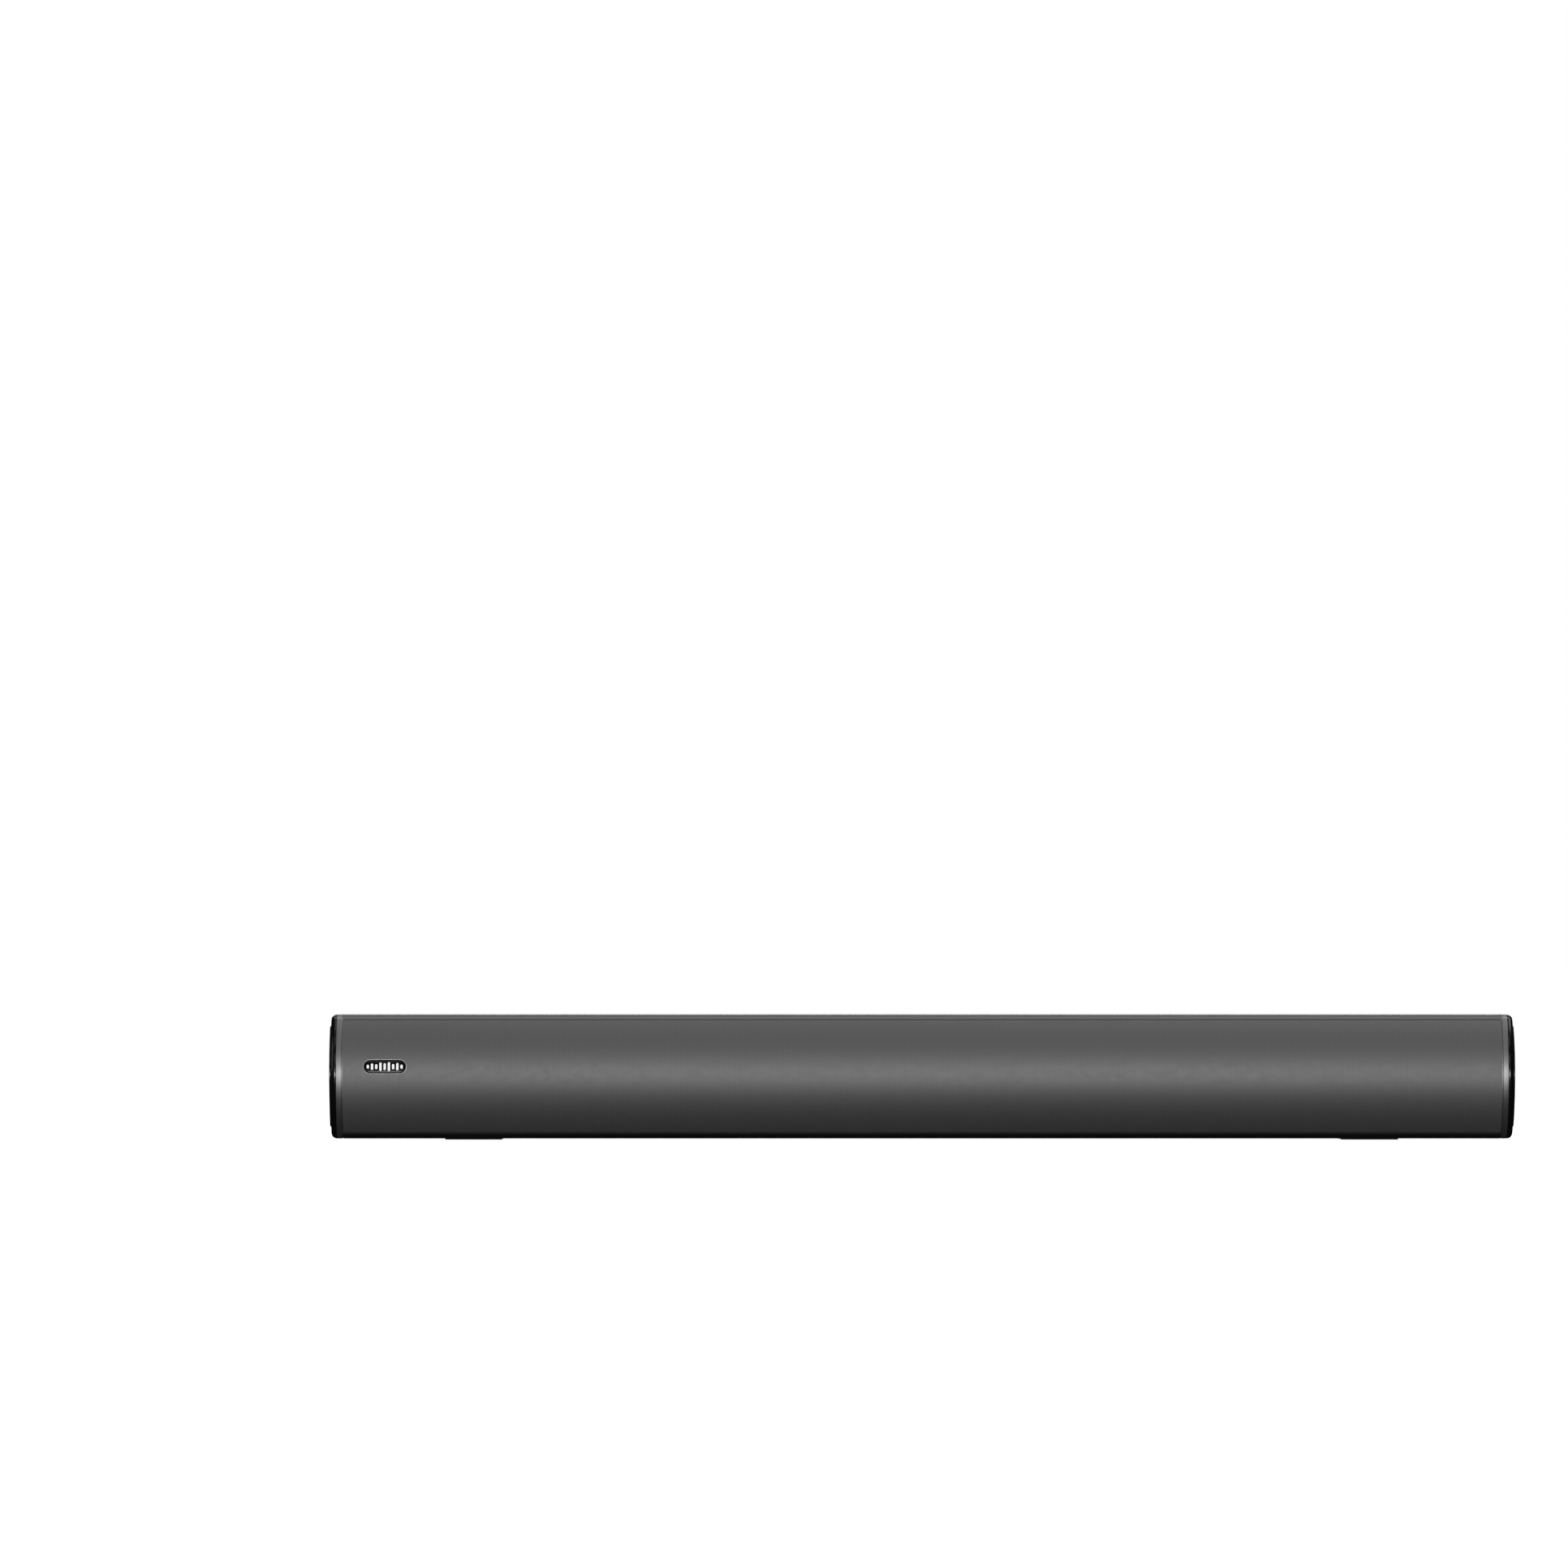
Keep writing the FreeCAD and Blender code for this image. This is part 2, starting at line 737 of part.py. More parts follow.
def make_front_grille():
    """Perforated steel front, bent to the front radius, with a flange along both long edges."""
    body = body_named("front_grille")
    sketch = sketch_on(body, "YZ")
    sheet_in = S.grille_gap + S.grille_thick
    corners = [
        lip_point(0, 1, S.grille_gap),
        lip_point(0, -1, S.grille_gap),
        lip_point(S.wall, -1, S.grille_gap),
        lip_point(S.wall, -1, sheet_in),
        lip_point(S.grille_thick, -1, sheet_in),
        lip_point(S.grille_thick, 1, sheet_in),
        lip_point(S.wall, 1, sheet_in),
        lip_point(S.wall, 1, S.grille_gap),
    ]
    outline(sketch, corners, {0: S.front_radius, 4: S.grille_thick - S.front_radius})
    pad(body, sketch, 2 * BODY_END)


def make_grille_cloth():
    """Thin acoustic cloth behind the perforated sheet."""
    body = body_named("grille_cloth")
    sketch = sketch_on(body, "YZ")
    outer = S.grille_thick + S.slack
    inner = outer + S.cloth_thick
    edge = S.grille_gap + S.grille_thick + S.fit
    corners = [
        lip_point(outer, 1, edge),
        lip_point(outer, -1, edge),
        lip_point(inner, -1, edge),
        lip_point(inner, 1, edge),
    ]
    outline(sketch, corners, {0: S.front_radius - outer, 2: inner - S.front_radius})
    pad(body, sketch, 2 * BODY_END)


def make_badge():
    """Pill-shaped plate that follows the curve of the grille near its left end."""
    middle = S.badge_from_end - S.length / 2
    height = MID + S.badge_rise
    end_radius = S.badge_height / 2
    reach = S.badge_width / 2 - end_radius
    depth = S.depth / 2
    pill = fuse("badge_pill", [
        block(
            "badge_middle",
            (middle - reach, -depth - 1, height - end_radius),
            (middle + reach, FRONT_CENTRE - S.front_radius / 2, height + end_radius),
        ),
        rod("badge_left_end", (middle - reach, -depth - 1, height), end_radius, depth / 2, "+y"),
        rod("badge_right_end", (middle + reach, -depth - 1, height), end_radius, depth / 2, "+y"),
    ])
    skin = cut(
        "badge_skin",
        rod("badge_outer", (middle - S.badge_width, FRONT_CENTRE, MID),
            S.front_radius + S.badge_proud, 2 * S.badge_width, "+x"),
        [rod("badge_inner", (middle - S.badge_width - 1, FRONT_CENTRE, MID),
             S.front_radius + S.slack, 2 * S.badge_width + 2, "+x")],
    )
    plate = doc.addObject("Part::Common", "badge")
    plate.Base = pill
    plate.Tool = skin
    sub_part(plate, "badge")


def driver_screw_places():
    """Across and up from the driver's axis, for its four screws."""
    half = S.driver_screw_pitch / 2
    return [(x * half, z * half) for x in (-1, 1) for z in (-1, 1)]


def make_front_baffle():
    """Board behind the grille that carries the drivers, with a rail behind each grille flange."""
    body = body_named("front_baffle")
    section = sketch_on(body, "YZ")
    inset = S.wall + S.fit
    radius = S.edge_radius - inset
    drop = CORNER_Y - BAFFLE_FRONT
    rise = S.height / 2 - S.edge_radius + root(radius * radius - drop * drop)
    rail_front = tangent_point(S.wall, 1)[0] + S.fit
    half = S.height / 2 - inset
    corners = [
        (BAFFLE_BACK, MID - half),
        (BAFFLE_BACK, MID + half),
        (CORNER_Y, MID + half),
        (BAFFLE_FRONT, MID + rise),
        (BAFFLE_FRONT, MID + RAIL_HIGH),
        (rail_front, MID + RAIL_HIGH),
        (rail_front, MID + RAIL_LOW),
        (BAFFLE_FRONT, MID + RAIL_LOW),
        (BAFFLE_FRONT, MID - RAIL_LOW),
        (rail_front, MID - RAIL_LOW),
        (rail_front, MID - RAIL_HIGH),
        (BAFFLE_FRONT, MID - RAIL_HIGH),
        (BAFFLE_FRONT, MID - rise),
        (CORNER_Y, MID - half),
    ]
    outline(section, corners, {2: radius, 12: radius})
    pad(body, section, 2 * CORE_END)
    holes = sketch_on(body, "XZ", BAFFLE_BACK + 1)
    for side in SIDES.values():
        middle = side * S.driver_spacing / 2
        circle(holes, (middle, MID), S.driver_hole)
        for x, z in driver_screw_places():
            circle(holes, (middle + x, MID + z), S.driver_screw_radius + S.slack)
    pocket(body, holes, S.baffle_thick + 2, "-y")


def make_partitions():
    """Two walls that close off the speaker chambers from the board between them."""
    walls = []
    for name, side in SIDES.items():
        body = doc.addObject("PartDesign::Body", f"{name}_partition")
        section = sketch_on(body, "YZ", side * S.partition_offset)
        inset = S.wall + S.fit
        front = BAFFLE_BACK + 2 * S.fit + S.rib_thick
        rear = S.rear_radius - inset
        low = S.foot_height + inset
        high = TOP - inset
        behind = BACK - inset
        corners = [
            (front, low),
            (BACK - S.rear_radius, low),
            (behind, low + rear),
            (behind, high - rear),
            (BACK - S.rear_radius, high),
            (front, high),
        ]
        outline(section, corners, {1: rear, 3: rear})
        pad(body, section, S.partition_thick)
        hole = sketch_on(body, "YZ", side * S.partition_offset)
        circle(hole, (WIRE_Y, WIRE_Z), S.wire_radius + 1.5)
        pocket(body, hole, S.partition_thick + 2)
        walls.append(body)
    sub_part(group("partitions", walls), "partitions")


# ---- the drivers ------------------------------------------------------------------------------


def driver_body(side_name, part_name):
    """Empty body on a driver's axis; its own Y runs back from the flange's rear face."""
    body = body_named(f"{side_name}_{part_name}")
    side = SIDES[side_name]
    place(body, (side * S.driver_spacing / 2, BAFFLE_FRONT - S.gasket_thick, MID))
    return body


def make_basket(side_name):
    """Pressed frame: square flange, conical wall with four windows, shelf and rear ring."""
    body = driver_body(side_name, "basket")
    outer = S.driver_hole - S.fit
    inner = outer - S.basket_wall
    wall = S.basket_wall
    half = FRAME_HALF
    rear = S.basket_depth
    hub = S.top_plate_radius + 1.4
    shelf = S.shelf_depth
    profile = [
        (inner, as_size(0)),
        (outer, as_size(0)),
        (S.shelf_radius, shelf - 1),
        (S.shelf_radius, shelf + wall),
        (hub, shelf + wall),
        (hub, rear),
        (S.coil_radius + 1.9, rear),
        (S.coil_radius + 1.9, rear - 1.2),
        (hub - wall, rear - 1.2),
        (hub - wall, shelf),
        (S.shelf_radius - wall, shelf),
        (S.shelf_radius - wall, shelf - 1),
    ]
    turn(body, profile, "Y_Axis")
    flange = sketch_on(body, "XZ", 0)
    rectangle(flange, (-half, -half), (half, half), as_size(4))
    circle(flange, (0, 0), inner)
    pad(body, flange, S.flange_thick, "-y")
    lug = sketch_on(body, "XZ", LUG_DEPTH)
    inward = -SIDES[side_name]
    taper = (outer - S.shelf_radius) / (shelf - 1)
    near = inward * (outer - taper * (LUG_DEPTH + LUG_THICK) - wall / 2)
    far = inward * S.lug_reach
    low, high = (near, far) if inward > 0 else (far, near)
    rectangle(lug, (low, as_size(-3)), (high, as_size(3)))
    pad(body, lug, LUG_THICK, "+y")
    holes = sketch_on(body, "XZ", 1)
    for x, z in driver_screw_places():
        circle(holes, (x, z), S.driver_screw_radius + S.fit)
    pocket(body, holes, S.flange_thick + 2, "-y")
    windows = sketch_on(body, "XZ", 1)
    away = (outer + S.shelf_radius) / 2 / math.sqrt(2)
    for x in (-1, 1):
        for z in (-1, 1):
            circle(windows, (x * away, z * away), 3)
    pocket(body, windows, shelf + 1, "+y")


def make_motor(side_name):
    """Top plate, ring magnet and yoke with its pole, clamped behind the basket."""
    rear = S.basket_depth
    gap_radius = S.coil_radius + S.former_thick + S.winding_thick + S.coil_gap
    plate_rear = rear + S.top_plate_thick
    magnet_rear = plate_rear + S.magnet_thick
    pole = S.coil_radius - S.coil_gap
    plate = driver_body(side_name, "top_plate")
    turn(plate, [
        (gap_radius, rear),
        (S.top_plate_radius, rear),
        (S.top_plate_radius, plate_rear),
        (gap_radius, plate_rear),
    ], "Y_Axis")
    magnet = driver_body(side_name, "magnet")
    turn(magnet, [
        (S.magnet_bore, plate_rear),
        (S.magnet_radius, plate_rear),
        (S.magnet_radius, magnet_rear),
        (S.magnet_bore, magnet_rear),
    ], "Y_Axis")
    yoke = driver_body(side_name, "yoke")
    turn(yoke, [
        (as_size(0), rear),
        (pole, rear),
        (pole, magnet_rear),
        (S.top_plate_radius, magnet_rear),
        (S.top_plate_radius, magnet_rear + S.yoke_thick),
        (as_size(0), magnet_rear + S.yoke_thick),
    ], "Y_Axis")


def make_moving_parts(side_name):
    """Cone, dust cap and voice coil, which move together along the driver's axis."""
    front = -S.flange_thick + S.slack
    neck = S.coil_radius + S.former_thick + S.slack
    edge = S.cone_outer
    cone = driver_body(side_name, "cone")
    turn(cone, [
        (neck, S.cone_depth - 2 * S.cone_thick),
        (edge - 1.4, front),
        (edge, front),
        (edge, front + S.cone_thick * 0.7),
        (edge - 1, front + S.cone_thick * 0.7),
        (neck, S.cone_depth - S.cone_thick),
    ], "Y_Axis")
    slope = (S.cone_depth - 2 * S.cone_thick - front) / (edge - 1.4 - neck)
    rim = front + (edge - 1.4 - S.dome_radius) * slope - S.fit
    dome = S.dome_radius
    bow = (dome * dome + S.dome_rise * S.dome_rise) / (2 * S.dome_rise)
    cap = driver_body(side_name, "dust_cap")
    turn(cap, [
        (as_size(0), rim - S.dome_rise),
        (dome, rim),
        (dome - 0.4, rim + 0.15),
        (as_size(0), rim - S.dome_rise + 0.4),
    ], "Y_Axis", {0: bow, 2: -bow})
    coil = driver_body(side_name, "voice_coil")
    former = S.coil_radius + S.former_thick
    middle = S.basket_depth + S.top_plate_thick / 2
    start = middle - S.winding_length / 2
    finish_y = middle + S.winding_length / 2
    turn(coil, [
        (S.coil_radius, S.cone_depth / 2 + 1),
        (former, S.cone_depth / 2 + 1),
        (former, start),
        (former + S.winding_thick, start),
        (former + S.winding_thick, finish_y),
        (S.coil_radius, finish_y),
    ], "Y_Axis")


def make_suspension(side_name):
    """Rubber half-roll surround in front and corrugated spider behind."""
    seat = -S.flange_thick
    thick = S.roll_thick
    roll_in = S.cone_outer + S.fit
    roll_out = roll_in + S.roll_width
    surround = driver_body(side_name, "surround")
    turn(surround, [
        (S.cone_outer - 1.2, seat - thick),
        (roll_in - S.fit, seat - thick),
        (roll_out + S.fit, seat - thick),
        (S.driver_hole + 0.4, seat - thick),
        (S.driver_hole + 0.4, seat),
        (roll_out, seat),
        (roll_in, seat),
        (S.cone_outer - 1.2, seat),
    ], "Y_Axis", {1: S.roll_width / 2 + S.fit * 1.5, 5: -S.roll_width / 2 - S.fit})
    spider = driver_body(side_name, "spider")
    neck = S.coil_radius + S.former_thick + S.fit
    rim = S.shelf_radius - S.basket_wall - S.fit
    rest = S.shelf_depth - S.slack
    steps = 9
    ridge = []
    for step in range(steps):
        radius = neck + (rim - 1.4 - neck) * step / (steps - 1)
        ridge.append((radius, rest - 0.4 - 0.5 * (step % 2)))
    under = [(radius, y + 0.4) for radius, y in reversed(ridge)]
    turn(spider, ridge + [(rim, rest - 0.4), (rim, rest)] + under, "Y_Axis")


def make_driver_gaskets():
    """Square foam gaskets between the driver flanges and the baffle."""
    rings = []
    for name, side in SIDES.items():
        body = doc.addObject("PartDesign::Body", f"{name}_gasket")
        place(body, (side * S.driver_spacing / 2, BAFFLE_FRONT, MID))
        half = FRAME_HALF
        sheet_cut = sketch_on(body, "XZ", 0)
        rectangle(sheet_cut, (-half, -half), (half, half), as_size(4))
        circle(sheet_cut, (0, 0), S.driver_hole)
        for x, z in driver_screw_places():
            circle(sheet_cut, (x, z), S.driver_screw_radius + S.fit)
        pad(body, sheet_cut, S.gasket_thick, "-y")
        rings.append(body)
    sub_part(group("driver_gaskets", rings), "driver_gaskets")


# ---- the ends ---------------------------------------------------------------------------------


def make_end(side_name):
    """Collar, cap and trim plate that close one end."""
    side = SIDES[side_name]
    outward = "+x" if side > 0 else "-x"
    inward = "-x" if side > 0 else "+x"
    collar_in = BODY_END + S.groove_width
    cap_in = collar_in + S.collar_width
    cap_out = cap_in + S.cap_width
    floor = cap_out - S.plate_sink

    collar = body_named(f"{side_name}_end_collar")
    band = sketch_on(collar, "YZ", side * collar_in)
    casing_outline(band, as_size(0))
    casing_outline(band, S.collar_thick)
    pad(collar, band, S.collar_width, outward)
    neck = sketch_on(collar, "YZ", side * BODY_END)
    casing_outline(neck, S.groove_depth)
    casing_outline(neck, S.collar_thick)
    pad(collar, neck, S.groove_width, outward)
    rim = sketch_on(collar, "YZ", side * BODY_END)
    casing_outline(rim, S.wall + S.fit)
    casing_outline(rim, S.collar_thick)
    pad(collar, rim, S.rim_reach, inward)

    cap = body_named(f"{side_name}_end_cap")
    plate_face = sketch_on(cap, "YZ", side * cap_in)
    casing_outline(plate_face, as_size(0))
    pad(cap, plate_face, S.cap_width, outward)
    edge_x = (side * cap_out).value
    round_edges(cap, S.cap_round, lambda edge: abs(edge.CenterOfMass.x - edge_x) < SMALL)
    locator = sketch_on(cap, "YZ", side * cap_in)
    casing_outline(locator, S.collar_thick + S.fit)
    casing_outline(locator, S.collar_thick + S.fit + 1.5)
    pad(cap, locator, S.locator_reach, inward)
    posts = sketch_on(cap, "YZ", side * cap_in)
    bores = sketch_on(cap, "YZ", side * (cap_out + 1))
    heads = sketch_on(cap, "YZ", side * (cap_out + 1))
    for y in END_SCREW_ROWS:
        for z in (S.foot_height + S.end_screw_inset, TOP - S.end_screw_inset):
            circle(posts, (y, z), S.end_post_radius)
            circle(bores, (y, z), S.end_screw_radius + S.fit)
            circle(heads, (y, z), S.end_screw_radius * 2 + S.fit)
    pad(cap, posts, cap_in - CORE_END, inward)
    recess = sketch_on(cap, "YZ", side * (cap_out + 1))
    casing_outline(recess, S.plate_border - S.slack)
    pocket(cap, recess, S.plate_sink + 1, inward)
    pocket(cap, bores, cap_out + 2 - CORE_END, inward)
    pocket(cap, heads, S.plate_sink + 1 + END_HEAD, inward)

    plate = body_named(f"{side_name}_end_plate")
    face = sketch_on(plate, "YZ", side * floor)
    casing_outline(face, S.plate_border)
    pad(plate, face, S.plate_sink + S.plate_proud, outward)
    plate_x = (side * (floor + S.plate_sink + S.plate_proud)).value
    round_edges(plate, S.plate_round, lambda edge: abs(edge.CenterOfMass.x - plate_x) < SMALL)


# ---- the control panel ------------------------------------------------------------------------

BUTTONS = ("power_button", "source_button", "volume_down_button", "volume_up_button")


def button_x(index):
    """Place of a button along the bar."""
    return S.button_pitch * (index - (len(BUTTONS) - 1) / 2)


def make_control_panel():
    """Flush insert in the top cover, glued from inside by its lip."""
    body = body_named("control_panel")
    half = S.panel_length / 2
    reach = S.panel_width / 2
    lip = S.panel_lip
    under = TOP - S.wall
    plate = sketch_on(body, "XY", under)
    rectangle(plate, (-half, PANEL_Y - reach), (half, PANEL_Y + reach), S.panel_corner)
    pad(body, plate, S.wall - S.panel_drop, "+z")
    flange = sketch_on(body, "XY", under)
    low = (-half - lip, PANEL_Y - reach - lip)
    high = (half + lip, PANEL_Y + reach + lip)
    rectangle(flange, low, high, S.panel_corner)
    pad(body, flange, S.panel_lip_thick, "-z")
    holes = sketch_on(body, "XY", TOP + 1)
    for index in range(len(BUTTONS)):
        circle(holes, (button_x(index), PANEL_Y), S.button_radius + S.fit)
    pocket(body, holes, S.wall + S.panel_lip_thick + 2, "-z")


def make_button(name, x):
    """Push button: round cap, stop flange under the panel, and a stem into its switch."""
    body = body_named(name)
    place(body, (x, PANEL_Y, 0))
    stop = TOP - S.wall - S.panel_lip_thick - S.slack
    crown = TOP - S.panel_drop
    shoulder = KEY_BOARD_TOP + S.switch_height + S.button_travel + S.fit
    tip = KEY_BOARD_TOP + S.switch_height - 1.2
    radius = S.button_radius
    stem = S.stem_radius
    turn(body, [
        (as_size(0), tip),
        (stem, tip),
        (stem, shoulder),
        (stem + 0.6, shoulder),
        (stem + 0.6, stop - 1),
        (radius + BUTTON_FLANGE, stop - 1),
        (radius + BUTTON_FLANGE, stop),
        (radius, stop),
        (radius, crown - 0.4),
        (radius - 0.4, crown),
        (as_size(0), crown),
    ], "Z_Axis")


def make_key_board():
    """Small circuit board under the buttons, with its four switches."""
    half = S.key_board_length / 2
    reach = S.key_board_width / 2
    low = KEY_BOARD_TOP - S.key_board_thick
    board = block("key_board_blank", (-half, PANEL_Y - reach, low), (half, PANEL_Y + reach, KEY_BOARD_TOP))
    holes = [
        rod(f"key_board_hole_{n}", (x, PANEL_Y, low - 1), S.end_screw_radius + S.fit,
            S.key_board_thick + 2, "+z")
        for n, x in enumerate((-S.key_post, S.key_post))
    ]
    sub_part(cut("key_board", board, holes), "key_board")
    switches = []
    for index in range(len(BUTTONS)):
        x = button_x(index)
        side = S.switch_size / 2
        case = block(f"switch_case_{index}", (x - side, PANEL_Y - side, KEY_BOARD_TOP),
                     (x + side, PANEL_Y + side, KEY_BOARD_TOP + S.switch_height))
        well = rod(f"switch_well_{index}", (x, PANEL_Y, KEY_BOARD_TOP + 1),
                   S.stem_radius + S.fit, S.switch_height, "+z")
        switches.append(cut(f"switch_{index}", case, [well]))
    sub_part(group("key_switches", switches), "key_switches")


# ---- the main board and its sockets -----------------------------------------------------------


def make_main_board():
    """Circuit board on four posts of the lower housing."""
    half = S.board_length / 2
    blank = block("main_board_blank", (-half, BOARD_FRONT, BOARD_UNDER), (half, BOARD_REAR, BOARD_TOP))
    holes = []
    for x in (-S.board_post, S.board_post):
        for y in BOARD_SCREW_ROWS:
            holes.append(rod(f"main_board_hole_{len(holes)}", (x, y, BOARD_UNDER - 1),
                             S.end_screw_radius + S.fit, S.board_thick + 2, "+z"))
    sub_part(cut("main_board", blank, holes), "main_board")


def on_board(name, x, y, size):
    """Box on top of the main board, centred on a place."""
    wide, deep, tall = size
    low = (as_size(x) - wide / 2, as_size(y) - deep / 2, BOARD_TOP)
    high = (as_size(x) + wide / 2, as_size(y) + deep / 2, BOARD_TOP + tall)
    return block(name, low, high)


def make_board_parts():
    """Capacitors, chips and plug-in connectors on the main board."""
    half = S.board_length / 2
    parts = []
    for index in range(3):
        x = -14 + 11 * index
        parts.append(rod(f"capacitor_{index}", (x, BOARD_FRONT + 6, BOARD_TOP), 4, 12, "+z"))
    for index in range(2):
        parts.append(on_board(f"inductor_{index}", 50, BOARD_FRONT + 4 + 9 * index, (8, 8, 5)))
    parts.append(on_board("amplifier_chip", 30, BOARD_FRONT + 10, (12, 12, 1.2)))
    parts.append(on_board("processor_chip", -30, BOARD_FRONT + 18, (10, 10, 1)))
    parts.append(on_board("ribbon_connector", 0, RIBBON_Y, (14, 4, 5)))
    for name, side in SIDES.items():
        parts.append(on_board(f"{name}_wire_connector", side * (half - 5), WIRE_Y, (6, 7, 5)))
    sub_part(group("board_parts", parts), "board_parts")
    sub_part(on_board("wireless_module_can", -50, BOARD_FRONT + 8, (18, 13, 2.4)), "wireless_module")


def make_heat_sink():
    """Finned block on the amplifier chip."""
    base_z = BOARD_TOP + 1.2
    y = BOARD_FRONT + 10
    solids = [block("heat_sink_base", (as_size(19), y - 9, base_z), (as_size(41), y + 9, base_z + 2))]
    for index in range(6):
        x = as_size(19 + 4.08 * index)
        fin = block(f"heat_sink_fin_{index}", (x, y - 9, base_z + 1), (x + 1.6, y + 9, base_z + 12))
        solids.append(fin)
    sub_part(fuse("heat_sink", solids), "heat_sink")


SOCKETS = {
    # name: across, height of the case
    "dc_socket": (9.5, 11),
    "optical_socket": (9.8, 10),
    "hdmi_socket": (15, 6.2),
    "aux_socket": (8, 9),
    "usb_socket": (14.6, 7.2),
}


def socket_x(name):
    """Place of a socket along the recess."""
    return S.socket_pitch * (list(SOCKETS).index(name) - 2)


def make_port_panel():
    """Tray that lines the recess at the back, with a window for each socket."""
    body = body_named("port_panel")
    low_z = S.recess_bottom
    high_z = S.recess_bottom + S.recess_height
    half = S.recess_length / 2
    wall = S.tray_wall
    tray = sketch_on(body, "XZ", BACK - S.fit)
    rectangle(tray, (-half + S.fit, low_z + S.fit), (half - S.fit, high_z - S.fit), S.recess_corner)
    pad(body, tray, S.recess_depth + wall - S.fit, "-y")
    flange = sketch_on(body, "XZ", BACK - S.wall)
    low = (-half - S.tray_flange, low_z + S.fit)
    high = (half + S.tray_flange, high_z + S.tray_flange)
    rectangle(flange, low, high, S.recess_corner)
    pad(body, flange, 1.5, "-y")
    hollow = sketch_on(body, "XZ", BACK + 1)
    rectangle(hollow, (-half + wall, low_z + wall), (half - wall, high_z - wall), S.recess_corner / 2)
    pocket(body, hollow, S.recess_depth + 1, "-y")
    windows = sketch_on(body, "XZ", RECESS_FLOOR + 1)
    for name, (wide, tall) in SOCKETS.items():
        x = socket_x(name)
        low = (x - wide / 2 - S.fit, BOARD_TOP - S.fit)
        high = (x + wide / 2 + S.fit, BOARD_TOP + tall + S.fit)
        rectangle(windows, low, high)
    pocket(body, windows, wall + 2, "-y")


def socket_case(name):
    """The plain case of a socket, on the board, flush with the floor of the recess."""
    wide, tall = SOCKETS[name]
    x = socket_x(name)
    low = (x - wide / 2, SOCKET_FRONT, BOARD_TOP)
    high = (x + wide / 2, RECESS_FLOOR, BOARD_TOP + tall)
    return block(f"{name}_case", low, high)


def make_round_sockets():
    """Power jack with its centre pin, and the audio jack."""
    x = socket_x("dc_socket")
    z = BOARD_TOP + SOCKETS["dc_socket"][1] / 2
    bottom = RECESS_FLOOR - S.plug_depth
    bore = rod("dc_socket_bore", (x, bottom, z), S.plug_radius, S.plug_depth + 1, "+y")
    pin = rod("dc_socket_pin", (x, bottom - 1, z), S.pin_radius, S.plug_depth, "+y")
    case = cut("dc_socket_hollow", socket_case("dc_socket"), [bore])
    sub_part(fuse("dc_socket", [case, pin]), "dc_socket")
    x = socket_x("aux_socket")
    z = BOARD_TOP + SOCKETS["aux_socket"][1] / 2
    bore = rod("aux_socket_bore", (x, RECESS_FLOOR - S.jack_depth, z), S.jack_radius, S.jack_depth + 1, "+y")
    sub_part(cut("aux_socket", socket_case("aux_socket"), [bore]), "aux_socket")


def make_slot_socket(name, opening, depth, tongue, tongue_z):
    """Flat socket with a contact tongue in its opening."""
    x = socket_x(name)
    wide, tall = opening
    z = BOARD_TOP + SOCKETS[name][1] / 2
    hollow = block(f"{name}_hollow", (x - wide / 2, RECESS_FLOOR - depth, z - tall / 2),
                   (x + wide / 2, RECESS_FLOOR + 1, z + tall / 2))
    tongue_wide, tongue_tall = tongue
    blade = block(
        f"{name}_tongue",
        (x - tongue_wide / 2, RECESS_FLOOR - depth - 1, z + tongue_z - tongue_tall / 2),
        (x + tongue_wide / 2, RECESS_FLOOR - 1.5, z + tongue_z + tongue_tall / 2),
    )
    sub_part(fuse(name, [cut(f"{name}_open", socket_case(name), [hollow]), blade]), name)


def make_optical_socket():
    """Square optical socket with a shutter that hangs from a pivot at the top of its mouth."""
    x = socket_x("optical_socket")
    half = OPTICAL_BORE / 2
    middle = BOARD_TOP + SOCKETS["optical_socket"][1] / 2
    pivot_y = RECESS_FLOOR - 1
    pivot_z = middle + half - 0.7
    pin_reach = half + 0.8
    hollow = block("optical_socket_hollow", (x - half, RECESS_FLOOR - S.plug_depth, middle - half),
                   (x + half, RECESS_FLOOR + 1, middle + half))
    pivot_hole = rod("optical_socket_pivot_hole", (x - pin_reach - 0.1, pivot_y, pivot_z),
                     PIVOT_RADIUS + S.slack, 2 * pin_reach + 0.2, "+x")
    sub_part(cut("optical_socket", socket_case("optical_socket"), [hollow, pivot_hole]), "optical_socket")
    flap_half = half - S.fit
    flap = block("optical_shutter_flap",
                 (x - flap_half, pivot_y - SHUTTER_THICK / 2, middle - half + S.fit),
                 (x + flap_half, pivot_y + SHUTTER_THICK / 2, pivot_z))
    pin = rod("optical_shutter_pin", (x - pin_reach, pivot_y, pivot_z), PIVOT_RADIUS, 2 * pin_reach, "+x")
    sub_part(fuse("optical_shutter", [flap, pin]), "optical_shutter")


# ---- wires, pads, feet and fixings ------------------------------------------------------------


